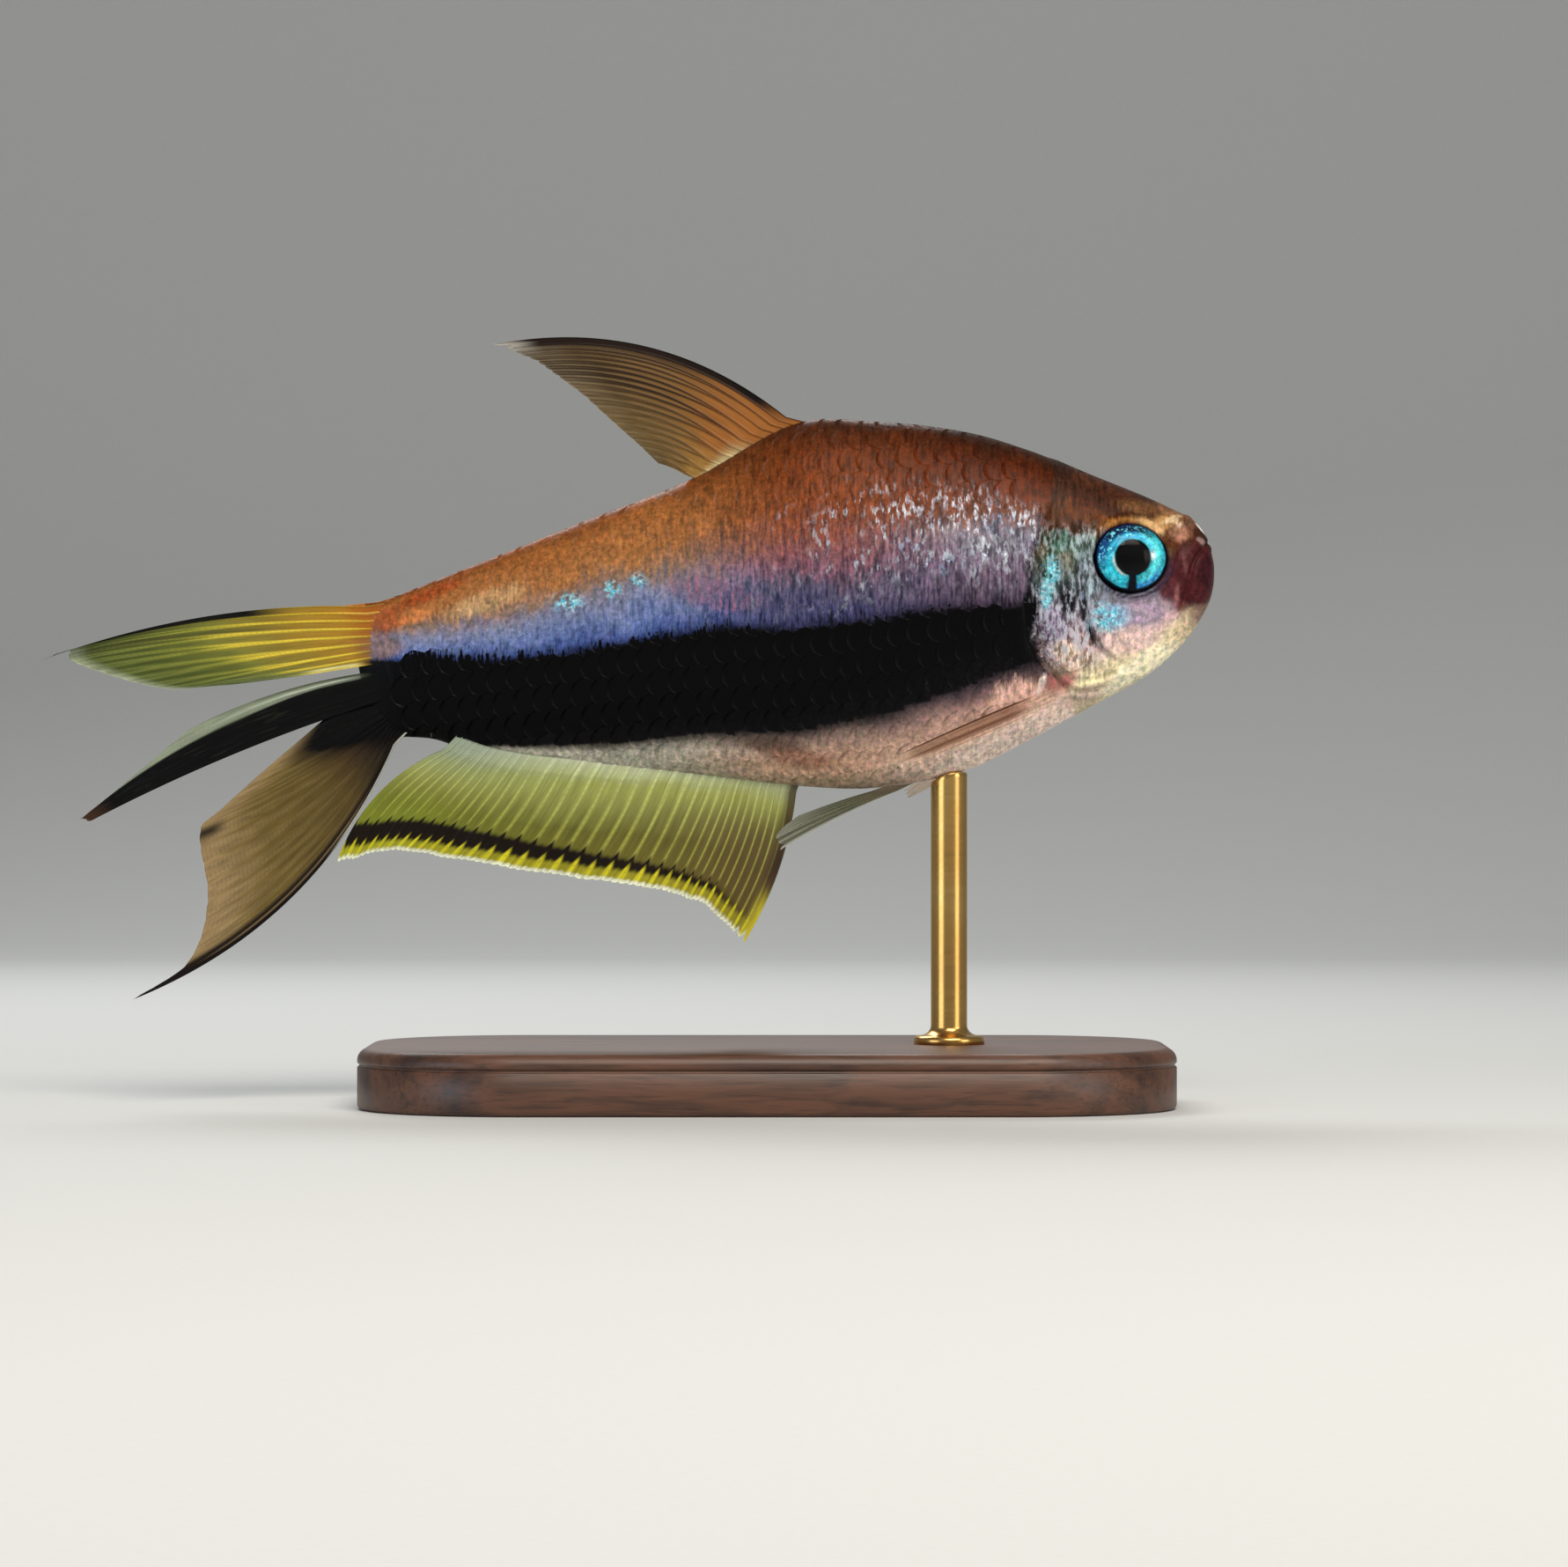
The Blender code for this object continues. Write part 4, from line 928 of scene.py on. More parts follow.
def arc_angle(behind, offset):
    """The ring angle, belly pi to back 0, at an arc length above the flank line, and the room to a ridge."""
    line = np.array(FLANK_LINE)
    level = np.interp(behind, line[:, 0], line[:, 1])
    turns = np.linspace(math.pi, 0, ARC_SAMPLES)
    spots = ring_point(behind[:, None], turns[None, :])
    steps = np.linalg.norm(np.diff(spots[..., 1:], axis=1), axis=-1)
    arcs = np.concatenate([np.zeros((len(behind), 1)), np.cumsum(steps, 1)], 1)
    start_turn = angle_of(behind, level, 1.0)
    found = np.empty(len(behind))
    room = np.empty(len(behind))
    for k in range(len(behind)):
        start = np.interp(-start_turn[k], -turns, arcs[k])
        want = start + offset[k]
        room[k] = min(want, arcs[k, -1] - want)
        # What would stand past a ridge is squeezed in front of it, so that no two points fall together.
        share = max(0.0, (room[k] + PAST_RIDGE) / (RIDGE_ROOM + PAST_RIDGE))
        if share < 1:
            want = RIDGE_ROOM * share if want < arcs[k, -1] / 2 else arcs[k, -1] - RIDGE_ROOM * share
        found[k] = np.interp(want, arcs[k], turns)
    return found, room


def scale_outline():
    """Local places of a scale's grid: along from root to rim, across from edge to edge."""
    along, across = np.meshgrid(np.linspace(0, 1, SCALE_GRID), np.linspace(-1, 1, SCALE_GRID), indexing="ij")
    hind = 1 - SCALE_ROUND * np.abs(across) ** 2.2
    return along * hind, across * (0.80 + 0.20 * np.sin(np.pi * np.clip(along * 1.1, 0, 1))), along, across


def lay_scales():
    """Roots of all scales of one flank: distance behind the snout and arc above the flank line."""
    centres = np.array([
        (place, row * ROW_PITCH) for row in SCALE_ROWS
        for place in np.arange(FIRST_SCALE - SCALE_PITCH * (1 - row % 2 / 2), LAST_SCALE, SCALE_PITCH)])
    turn, room = arc_angle(np.maximum(centres[:, 0] + SCALE_LONG / 2, 1.0), centres[:, 1])
    up = ring_point(centres[:, 0] + SCALE_LONG / 2, turn)[:, 2] - SNOUT_Z
    clear = behind_opening(centres[:, 0] + SCALE_LONG * 0.62, up) > 0.12
    share = (TAIL_TOP[1] - up) / (TAIL_TOP[1] - TAIL_BOTTOM[1])
    end = TAIL_TOP[0] + 0.05 - share * (TAIL_TOP[0] - TAIL_BOTTOM[0])
    keep = (room > -0.25) & clear & (centres[:, 0] + SCALE_LONG < end)
    return centres[keep]


print(len(lay_scales()), "scales on each flank")

# %% Scales
SCALE_THICK, SCALE_RISE = 0.010, 0.016
THIN_EDGE = 0.6  # the share of its thickness that a scale loses at its edge
SIZE_SPREAD, PLACE_SPREAD, TONE_SPREAD = 0.05, 0.03, 0.06  # how much the scales differ
MAP_PATCH = 0.0015  # half the size of a scale on the bake map
random = np.random.default_rng(7)


def scales(name, side):
    centres = lay_scales()
    local_along, local_across, along_share, across_share = [a.ravel() for a in scale_outline()]
    count, size = len(centres), SCALE_GRID * SCALE_GRID
    grow = 1 + random.uniform(-SIZE_SPREAD, SIZE_SPREAD, count)
    shift = random.uniform(-PLACE_SPREAD, PLACE_SPREAD, (2, count, 1))
    place = (centres[:, :1] + SCALE_LONG * grow[:, None] * local_along + shift[0]).ravel()
    offset = (centres[:, 1:] + SCALE_TALL / 2 * grow[:, None] * local_across + shift[1]).ravel()
    turn, _ = arc_angle(place, offset)
    turn = turn * side
    base = ring_point(place, turn)
    normal = skin_normal(place, turn)
    # The first scales lie flatter, so that the smooth head passes into them.
    flat = 0.2 + 0.8 * ease(8.2, 11.0, place)
    rise = np.tile(local_along, count) * SCALE_RISE * np.repeat(grow, size) * flat
    crown = 0.002 * flat * (1 - np.tile(across_share, count) ** 2)
    lift = -COAT_DEPTH + rise + crown * np.tile(along_share, count)
    border = np.tile(np.maximum(along_share, np.abs(across_share)) > 0.99, count)
    outer = base + normal * (lift - THIN_EDGE * SCALE_THICK * border)[:, None]
    inner = base + normal * (lift - SCALE_THICK)[:, None]
    up = base[:, 2] - SNOUT_Z

    # One scale's faces: its outer grid, its inner grid turned over, and the rim between them.
    one = closed_sheet(SCALE_GRID, SCALE_GRID)
    shells = (one[None] + (np.arange(count) * 2 * size)[:, None, None]).reshape(-1, 4)
    points = np.stack([outer.reshape(count, size, 3), inner.reshape(count, size, 3)], 1).reshape(-1, 3)

    edge = np.maximum(along_share, 0.9 * np.abs(across_share) * along_share ** 0.5)
    tone = np.repeat(random.uniform(1 - TONE_SPREAD, 1 + TONE_SPREAD, count), size)
    painted = skin_paint(place, up, np.tile(edge, count), tone)
    # The band breaks up scale by scale: nearly half of its distance is that of the scale's middle.
    middles = place.reshape(count, size)[:, size // 2], up.reshape(count, size)[:, size // 2]
    steps = np.repeat(chart(*middles)[:, 2], size)
    painted["chart"][:, 2] = 0.55 * painted["chart"][:, 2] + 0.45 * steps
    painted = {key: values.reshape(count, 1, size, -1).repeat(2, 1).reshape(-1, values.shape[-1])
               for key, values in painted.items()}

    # Each scale is a small patch of the bake map, at its root's place on the unrolled skin.
    root_turn = np.mod(turn.reshape(count, size)[:, SCALE_GRID // 2], math.tau)
    root = skin_uv(centres[:, 0] + 0.5, root_turn)
    patch = MAP_PATCH * np.stack([2 * along_share - 1, across_share], -1)
    uv = (root[:, None, None] + patch[None, None]).repeat(2, 1).reshape(-1, 2)
    # The thin rims stay flat, so that no line of light runs round every scale.
    rims = np.tile(np.arange(len(one)) >= 2 * (SCALE_GRID - 1) ** 2, count)
    piece(name, points, turned_outward(points, shells), fish_skin, "body_skin", (), painted, uv, sharp=rims)


for word, side in SIDES.items():
    scales("scales_" + word, side)

# %% [markdown]
# ## Gill covers
# The gill cover, or operculum, is a thin bony plate that swings over the gill chamber. It lies flush with
# the cheek in front and stands a little proud at its rounded hind edge, where a dark gap shows. One could
# press it into the skin like the preopercle, but the free edge needs a real gap behind it to cast its line
# of shadow. So it is a plate of its own, between a front and a hind line, thinner towards its rim.

# %% Gill cover plates
COVER_FRONT = (
    (7.95, 1.82), (7.62, 1.30), (7.22, 0.00), (6.92, -1.75), (6.50, -3.05), (6.12, -3.95), (6.12, -4.75),
    (6.75, -5.32),
)
COVER_HIND = (
    (8.20, 1.86), (8.58, 1.35), (8.90, 0.00), (8.95, -2.20), (8.78, -3.60), (8.32, -4.62), (7.62, -5.25),
    (7.00, -5.40),
)
COVER_ROWS, COVER_COLUMNS = 110, 44
COVER_FRONT_PROUD, COVER_HIND_PROUD, COVER_THICK = 0.02, 0.17, 0.16
COVER_HINGE = (6.9, 2.4)


def rows_at(table, share):
    """Rows of a table at shares of its length."""
    number = np.arange(len(table))
    return np.stack([np.interp(share * number[-1], number, column) for column in table.T], -1)


def gill_cover(word, side):
    share = np.linspace(0, 1, COVER_ROWS)
    front, hind = (rows_at(smooth_rows(line, 8), share)[:, None] for line in (COVER_FRONT, COVER_HIND))
    across = np.linspace(0, 1, COVER_COLUMNS)[None, :, None]
    grid = front * (1 - across) + hind * across
    behind, up = grid[..., 0], grid[..., 1]
    turn = angle_of(behind, up, side)
    across = across[..., 0] + 0 * behind
    edge = np.minimum(share, 1 - share)[:, None] + 0 * behind
    # Fine ridges fan out from the hinge at the upper front corner.
    fan = np.arctan2(up - COVER_HINGE[1], behind - COVER_HINGE[0])
    ridges = 0.012 * np.sin(fan * 34) * np.sin(np.pi * across) + 0.04 * np.sin(np.pi * across)
    lift = COVER_FRONT_PROUD + (COVER_HIND_PROUD - COVER_FRONT_PROUD) * across**1.5 + ridges
    lift = lift * ease(0, 0.06, edge) - 0.05 * (1 - ease(0, 0.05, edge))
    lift -= 0.08 * ease(0.93, 1.0, across)
    base, normal = ring_point(behind, turn), skin_normal(behind, turn)
    points = [base + normal * (lift - deep)[..., None] for deep in (0, COVER_THICK)]
    points = np.concatenate(points).reshape(-1, 3)
    painted = skin_paint(behind, up, 0.75 * ease(0.8, 1.0, across))
    painted = {key: np.vstack([values] * 2) for key, values in painted.items()}
    uv = np.vstack([skin_uv(behind, np.mod(turn, math.tau)).reshape(-1, 2)] * 2)
    piece("cover_plate_" + word, points, turned_outward(points, closed_sheet(COVER_ROWS, COVER_COLUMNS)),
          gill_bone, "gill_cover", ("gill_cover_" + word,), painted, uv)


gill_bone = skin_finish("opercle_bone_under_silver_skin", 0.34)
for word, side in SIDES.items():
    gill_cover(word, side)

# %% [markdown]
# ## Eyes
# The eye is what one looks at first. A tetra's eye is a flattened ball with a black pupil, a ring of blue
# and turquoise iris made of the same crystals as the flank, a notch below the pupil, and a clear cornea. A
# painted ball alone looks blind, because its highlight lies in the paint. So the iris is a dish of its own
# with painted flecks, and a clear dome with a wet gloss stands over it, as glass eyes for models are made.

# %% Places on the eye
EYE_SPOKES = 160


def eye_turn(side):
    return Matrix.Rotation(side * -EYE_TURN_FORWARD, 3, "Z") @ Matrix.Rotation(side * EYE_TURN_UP, 3, "X")


def eye_points(side, flat, height):
    """Places on the eye: flat holds forward and up in its plane, height is along its axis, outwards."""
    turn = np.array(eye_turn(side))
    local = np.stack([flat[..., 0], side * height, flat[..., 1]], -1)
    centre = world(EYE_BEHIND, EYE_UP, side * (half_width(EYE_BEHIND, EYE_UP) - EYE_SUNK))
    return centre + local @ turn.T


def dish(side, rings, height):
    """A round grid of points: rings of radii, with a height for each."""
    turn = np.linspace(0, math.tau, EYE_SPOKES, endpoint=False)
    rings = rings[:, None]
    flat = np.stack([rings * np.cos(turn), rings * np.sin(turn) * EYE_TALL / EYE_RADIUS], -1)
    return flat, eye_points(side, flat, height[:, None] + 0 * flat[..., 0])


print("the right eye looks along", np.array(eye_turn(-1.0) @ Vector((0, -1, 0))).round(2))

# %% Colours of the eye
PUPIL, IRIS = 0.84, 1.70
NOTCH_WIDE = 0.22  # half width of the dark notch under the pupil


def eye_paint(flat):
    """The colours of iris and pupil, with a painted highlight and painted shade at the top, from forward and
    up in the plane of the eye.
    """
    forward, up = flat[..., 0], flat[..., 1]
    radius, turn = np.hypot(forward, up), np.arctan2(up, forward)

    def sector(degrees, low, high):
        return ease(low, high, np.cos(turn - math.radians(degrees)))

    # The ring of the iris is a little wider than tall, and stands a little above the pupil.
    outer = np.hypot(forward, (up - 0.05) * EYE_RADIUS / EYE_TALL)
    wide = NOTCH_WIDE * (0.9 + 0.25 * ease(0.9, 1.6, radius))
    notch = ease(wide + 0.06, wide - 0.06, np.abs(forward + 0.02)) * ease(-0.5, -0.7, up)
    layers = (
        (np.ones_like(radius), "#0ca2b8"),
        (0.9 * bump(radius - 1.24, 0.28) * sector(5, -0.1, 0.8), "#62e0e4"),
        (0.8 * bump(radius - 1.30, 0.30) * sector(215, 0.3, 0.9), "#34c8e0"),
        (0.8 * bump(radius - 1.46, 0.16) * sector(-62, 0.6, 1.0), "#2a6fd0"),
        (0.6 * bump(radius - 1.08, 0.16) * sector(105, -0.2, 0.7), "#4a9cd4"),
        (0.9 * sector(132, 0.15, 0.8) * ease(1.14, 1.40, outer), "#153a82"),
        # The top of the iris is near black: partly its own dark rim, partly painted shade from the brow.
        (0.9 * sector(98, 0.30, 0.9) * ease(1.20, 1.42, outer), "#0a1438"),
        (ease(IRIS - 0.05, IRIS + 0.04, outer), "#081030"),
        (ease(IRIS + 0.03, IRIS + 0.10, outer), "#030408"),
        (0.85 * bump(radius - 0.97, 0.05) * sector(212, 0.70, 0.95), "#d8b8a0"),
        # A painted highlight on the iris, just in front of the pupil.
        (0.9 * bump(np.hypot((forward - 1.00) / 0.7, up - 0.10), 0.20), "#f2ecf0"),
        (ease(0.93, 0.88, radius), "#060a12"),
        (notch, "#040610"),
        (ease(PUPIL + 0.03, PUPIL - 0.03, radius), "#010102"),
    )
    crystal = ease(0.93, 1.0, radius) * ease(IRIS + 0.02, IRIS - 0.08, outer) * (1 - notch)
    return layered(radius.shape, layers), crystal * (0.55 + 0.65 * sector(150, 0.0, 0.8))

# %% Iris and cornea
iris_finish, shader, add = new_finish("iris_of_guanine_crystals", {
    "Roughness": 0.5, "IOR": TISSUE_IOR, "Specular IOR Level": 0.08})
in_mm = in_millimetres(add)
crumb = add("TexNoise", (in_mm, 5.5, 3.0, 0.7))
cloud = add("TexNoise", (in_mm, 3.6, 4.0, 0.75))
brush = add("Attribute brush")
crystal = add("Attribute crystal").outputs["Fac"]
light = add("MapRange", (cloud, 0.34, 0.66, 0.38, 1.60))
iris_colour = add("VectorMath SCALE", (brush.outputs["Color"], light))
bright = add("MapRange", (crumb, 0.54, 0.61))
bright = add("Math MULTIPLY", (bright, crystal), use_clamp=True)
bright = add("Math MULTIPLY", (bright, 0.85))
iris_colour = add("Mix RGBA", (bright, iris_colour, (*linear("#7ee4f0"), 1)))
relief = add("Bump", {"Strength": 0.5, "Distance": 0.03 * MM, "Height": cloud})
wire(shader, {"Base Color": iris_colour, "Metallic": add("Math MULTIPLY", (bright, 0.8)), "Normal": relief})

# A little gloss that grows towards the rim, over a layer that lets all light through.
cornea_finish, _, add = new_finish("clear_wet_cornea", {})
facing = add("Math MULTIPLY", (add("Fresnel", {"IOR": 1.376}), 0.28))
both = add("MixShader", (facing, add("BsdfTransparent"), add("BsdfGlossy", {"Roughness": 0.04})))
wire(cornea_finish.node_tree.nodes["Material Output"], {"Surface": both})
print(len(iris_finish.node_tree.nodes), "nodes in the iris")

# %% Eyes
EYE_RINGS, EYE_EDGE = 64, 1.86
PUPIL_DIP = 0.05  # how far the iris dips into the pupil
CORNEA_RISE, CORNEA_GAP = 0.16, 0.004  # the clear dome over the iris, in the middle and at the rim


def cap_faces(rings, flip):
    """Faces of a round grid whose first ring is closed by a fan to the point after the grid."""
    faces = grid_faces(rings, EYE_SPOKES, wrap=True, flip=flip).tolist()
    centre = rings * EYE_SPOKES
    for k in range(EYE_SPOKES):
        follow = (k + 1) % EYE_SPOKES
        faces.append((follow, k, centre) if flip else (k, follow, centre))
    return faces


def eye(word, side):
    share = np.linspace(0.01, 1, EYE_RINGS)
    radii = EYE_EDGE * np.sin(share * math.pi / 2)
    dome = EYE_DEPTH * np.sqrt(np.maximum(1 - (radii / EYE_RADIUS) ** 2, 0))
    sunk = dome - CORNEA_RISE * (1 - (radii / EYE_EDGE) ** 2)
    sunk -= PUPIL_DIP * ease(PUPIL + 0.1, PUPIL - 0.1, radii)
    flat, points = dish(side, radii, sunk)
    middle = eye_points(side, np.zeros(2), sunk[0])
    paint, speckle = eye_paint(flat)
    painted = {"brush": np.vstack([paint.reshape(-1, 4), paint[0, 0]]),
               "crystal": np.append(speckle.ravel(), 0.0)}
    piece("iris_" + word, np.vstack([points.reshape(-1, 3), middle]), cap_faces(EYE_RINGS, side > 0),
          iris_finish, "eye", ("eye_" + word,), painted)
    _, points = dish(side, radii, dome + CORNEA_GAP)
    middle = eye_points(side, np.zeros(2), dome[0] + CORNEA_GAP)
    piece("cornea_" + word, np.vstack([points.reshape(-1, 3), middle]), cap_faces(EYE_RINGS, side > 0),
          cornea_finish, "eye", ())


for word, side in SIDES.items():
    eye(word, side)

# %% [markdown]
# ## Fins
# A fin is a fan of bony rays with a thin membrane between them. Soft rays fork towards the margin and are
# jointed all along. Cloth-like planes with a picture of rays would look flat, so each fin is a closed, very
# thin sheet whose two faces rise along every ray and along its forks. The guide rays lie close to those of
# the solids: root, tip, bow, and how far the fin leans to the far side. The sheet is far thinner than the
# solid, about a tenth of a millimetre, and its root goes into the flesh, so no gap shows.

# %% Guide rays, close to those of the solids
# Root behind and up, tip behind and up, bow, how far root and tip stand to the far side.
DORSAL_GUIDES = (
    (21.15, 7.22, 35.55, 10.90, 3.4, 0.0, 0.9), (22.15, 6.75, 34.00, 10.25, 2.6, 0.0, 0.8),
    (23.40, 6.10, 32.00, 9.00, 1.5, 0.0, 0.6), (24.75, 5.27, 29.60, 6.95, 0.8, 0.0, 0.4),
    (26.20, 4.42, 27.45, 4.95, 0.1, 0.0, 0.2),
)
ANAL_GUIDES = (
    (20.65, -11.33, 23.25, -18.80, -0.9, 0.0, 0.3), (22.80, -11.12, 25.10, -16.95, -0.5, 0.0, -0.2),
    (25.20, -10.90, 27.75, -16.05, -0.3, 0.0, -0.4), (29.60, -10.62, 32.45, -15.42, -0.3, 0.05, 0.1),
    (33.90, -10.20, 37.30, -14.65, -0.3, 0.2, 0.5), (36.40, -9.72, 40.60, -14.20, 0.1, 0.3, 0.6),
    (38.05, -9.15, 43.40, -14.80, 1.7, 0.4, 0.5),
)
UPPER_LOBE_GUIDES = (
    (41.95, -2.10, 58.20, -4.75, 1.6, 0.75, 2.2), (41.84, -2.85, 57.00, -4.30, 0.9, 0.75, 2.3),
    (41.70, -3.60, 56.20, -5.05, 0.5, 0.74, 2.3), (41.58, -4.30, 52.20, -6.10, 0.1, 0.74, 2.1),
    (41.45, -4.95, 48.80, -5.98, -0.1, 0.74, 1.7),
)
MIDDLE_RAY_GUIDES = (
    (41.38, -5.32, 50.80, -8.20, 0.9, 0.74, 1.4), (41.30, -5.72, 55.75, -12.30, 2.1, 0.74, 1.6),
    (41.20, -6.25, 56.05, -12.55, 1.1, 0.74, 1.6), (41.12, -6.75, 55.80, -12.80, 0.7, 0.74, 1.6),
)
LOWER_LOBE_GUIDES = (
    (40.55, -9.00, 53.40, -21.55, -3.7, 0.72, -0.4), (40.62, -8.55, 50.60, -19.60, -2.4, 0.72, -0.2),
    (40.70, -8.15, 49.80, -16.60, -1.6, 0.72, 0.4), (40.78, -7.80, 50.20, -13.40, -0.9, 0.73, 0.9),
    (40.86, -7.45, 48.90, -11.90, -0.3, 0.73, 1.1), (40.95, -6.90, 43.50, -7.20, 0.1, 0.74, 0.9),
)
# Paired fins: the last two values are the distance of root and tip from the middle plane.
PELVIC_GUIDES = (
    (15.60, -11.22, 21.45, -14.15, 0.3, 1.00, 1.55), (16.25, -11.26, 21.55, -13.30, 0.2, 0.97, 1.45),
    (16.95, -11.26, 20.60, -12.50, 0.1, 0.94, 1.30),
)
PECTORAL_GUIDES = {"right": (
    (8.85, -6.50, 15.90, -9.60, 0.15, 2.70, 3.05), (8.80, -6.90, 16.10, -9.98, 0.05, 2.62, 3.00),
    (8.75, -7.30, 14.80, -9.85, -0.10, 2.52, 2.85),
), "left": (
    (8.85, -6.50, 15.20, -11.20, 0.15, 2.70, 2.60), (8.80, -6.90, 15.10, -11.60, 0.05, 2.60, 2.50),
    (8.75, -7.30, 14.20, -11.20, -0.10, 2.50, 2.40),
)}
print(f"dorsal fin: {math.dist(DORSAL_GUIDES[0][:2], DORSAL_GUIDES[0][2:4]):.1f} mm along its front ray")

# %% The fan
MEMBRANE, RAY_HEIGHT = 0.07, 0.045  # thickness of the membrane, rise of a ray
RAY_WIDE = 0.11  # width of a ray as a share of the gap
FORK, SECOND_FORK = 0.25, 0.12  # how far the forks spread, as shares of the gap between rays
JOINT = 0.3  # length of one joint of a ray
ROOT_IN = 0.9  # how far the root goes into the flesh
ROOT_THICK, PAIRED_ROOT = 0.30, 0.4  # what the root adds to the membrane, and the paired fins' share of it


def fan(name, finish, slot, guides, rays, paint_of, side=0.0, word="", rows=72, steps=10, scallop=0.04,
        ripple=0.0, lead=1.6, fray=0.012, forks=(0.30, 0.85)):
    """One fin. Side 0 is a fin of the middle plane. Its colours come from paint_of, whose arguments are
    the shares across the fin and from root to margin, how near a ray is, and the way to the margin."""
    columns = (rays - 1) * steps + 1
    u = np.linspace(0, 1, columns)
    row = rows_at(smooth_rows(guides, 16), u)
    root, tip, bow, root_side, tip_side = row[:, 0:2], row[:, 2:4], row[:, 4], row[:, 5], row[:, 6]
    along = tip - root
    length = np.linalg.norm(along, axis=1)
    normal = np.stack([-along[:, 1], along[:, 0]], -1) / length[:, None]
    normal *= np.where(normal[:, 1:] < 0, -1, 1)

    v = np.linspace(0, 1, rows)[:, None]
    number = u * (rays - 1)
    gap = np.abs(number - np.round(number))[None, :]
    forked = ease(0.8, 2.2, number)[None, :]
    fork = np.abs(gap - FORK * forked * ease(forks[0], forks[1], v))
    fork = np.abs(fork - SECOND_FORK * forked * ease(0.5 * sum(forks), 1.1, v))
    ridge = np.exp(-((fork / RAY_WIDE) ** 2))
    uneven = np.interp(number, np.arange(rays), random.uniform(-fray, fray, rays))[None, :]
    margin = 1 + uneven - scallop * (2 * np.abs(gap - FORK * forked)) ** 2
    start = -ROOT_IN / length[None, :]
    reach = start + (margin - start) * v
    share = np.clip(reach, 0, 1)

    spot = (root[None] + along[None] * reach[..., None]
            + normal[None] * (2 * share * (1 - share) * bow[None])[..., None])
    out = root_side[None] + (tip_side - root_side)[None] * share**1.4
    out = out + ripple * np.sin(number * 0.9 + 5 * share) * share**1.5
    thick = (MEMBRANE * (1 - 0.6 * share)
             + (PAIRED_ROOT if side else 1) * ROOT_THICK * np.clip(1 - reach * 3.0, 0, 1) ** 3)
    rise = RAY_HEIGHT * (1 - 0.62 * share) * np.where(number < 0.5, lead, 1.0)[None, :]
    size = thick + 2 * rise * ridge
    size = size * (1 - 0.6 * ease(0.97, 1.0, v))
    behind, up = spot[..., 0], spot[..., 1]
    if side:
        room = half_width(behind, up)
        clear = room - 0.25 + 0.36 * ease(-0.04, 0.14, reach)
        out = side * np.where(room > 0, np.maximum(out, clear + size / 2), out)
    points = np.concatenate([world(behind, up, out + part * size) for part in (-0.5, 0.5)]).reshape(-1, 3)
    layers = paint_of(u[None, :] + 0 * v, v + 0 * number[None, :], ridge, (1 - v) * length[None, :])
    values = np.stack(np.broadcast_arrays(number[None, :] / rays, v, ridge), -1)
    painted = {"fan": np.vstack([values.reshape(-1, 3)] * 2),
               "brush": np.vstack([layered(ridge.shape, layers).reshape(-1, 4)] * 2)}
    piece(name + word, points, turned_outward(points, closed_sheet(rows, columns)), finish, slot,
          (slot + word,), painted)


# %% [markdown]
# ## Fin membrane
# The membrane is clear skin with scattered pigment, and light passes through it. Its finish mixes a thin
# dielectric skin with a translucent shader of the same colour. Two ramps run from root to margin, one for
# the membrane and one for the rays. Fibres are noise stretched along the rays, and the joints of the rays
# are fine cross lines, about 0.3 mm apart. The special marks of each fin, such as the black edge of the tail
# lobe, are painted on in a function of its own.

# %% Finish of the fins
def fin_finish(name, membrane, ray, rays, long, clear, ray_clear=1.0, roughness=0.42):
    """Stops from root to margin for membrane and rays, the fin's length, alpha of membrane and of rays."""
    made, shader, add = new_finish(name, {
        "Roughness": roughness, "IOR": TISSUE_IOR, "Specular IOR Level": 0.18, "Coat Weight": 0.05,
        "Coat Roughness": 0.25})
    fan_at = add("Attribute fan").outputs["Vector"]
    _, v, ridge = add("SeparateXYZ", (fan_at,)).outputs
    fibres = add("Mapping", {"Vector": fan_at, "Scale": (rays * 7.0, long * 0.45, 0.0)})
    fibre = add("TexNoise", (fibres, 1.0, 3.0, 0.6))
    cloud = add("TexNoise", (in_millimetres(add), 0.8, 4.0, 0.6))
    moved = add("Math ADD", (add("Math MULTIPLY_ADD", (cloud, 0.16, -0.08)), v))
    skin_colour = add("ValToRGB", (moved,), membrane)
    ray_colour = add("ValToRGB", (moved,), ray)
    colour = add("Mix RGBA", (ridge, skin_colour, ray_colour))
    brush = add("Attribute brush")
    cover = add("Math MULTIPLY", (add("Math MULTIPLY_ADD", (fibre, 0.6, 0.74)), brush.outputs["Alpha"]),
                use_clamp=True)
    colour = add("Mix RGBA", (cover, colour, brush.outputs["Color"]))
    joint = add("Math MULTIPLY", (v, long / JOINT * math.tau))
    joint = add("Math MULTIPLY", (add("Math SINE", (joint,)), ridge))
    joint = add("MapRange", (joint, 0.45, 0.95, 1.0, 0.78))
    light = add("MapRange", (fibre, *NOISE, 0.74, 1.24))
    light = add("Math MULTIPLY", (light, joint))
    colour = add("VectorMath SCALE", (colour, light))
    rough = add("MapRange", (fibre, *NOISE, roughness - 0.06, roughness + 0.10))
    relief = add("Bump", {"Strength": 0.4, "Distance": 0.02 * MM, "Height": fibre})
    solid = add("MapRange", (ridge, 0.0, 1.0, clear, ray_clear))
    solid = add("Math MAXIMUM", (solid, cover))
    wire(shader, {"Base Color": colour, "Roughness": rough, "Normal": relief, "Alpha": solid})
    through = add("BsdfTranslucent", {"Color": colour})
    both = add("Math MULTIPLY", (solid, 0.22))
    both = add("MixShader", (both, shader, through))
    wire(made.node_tree.nodes["Material Output"], {"Surface": both})
    return made


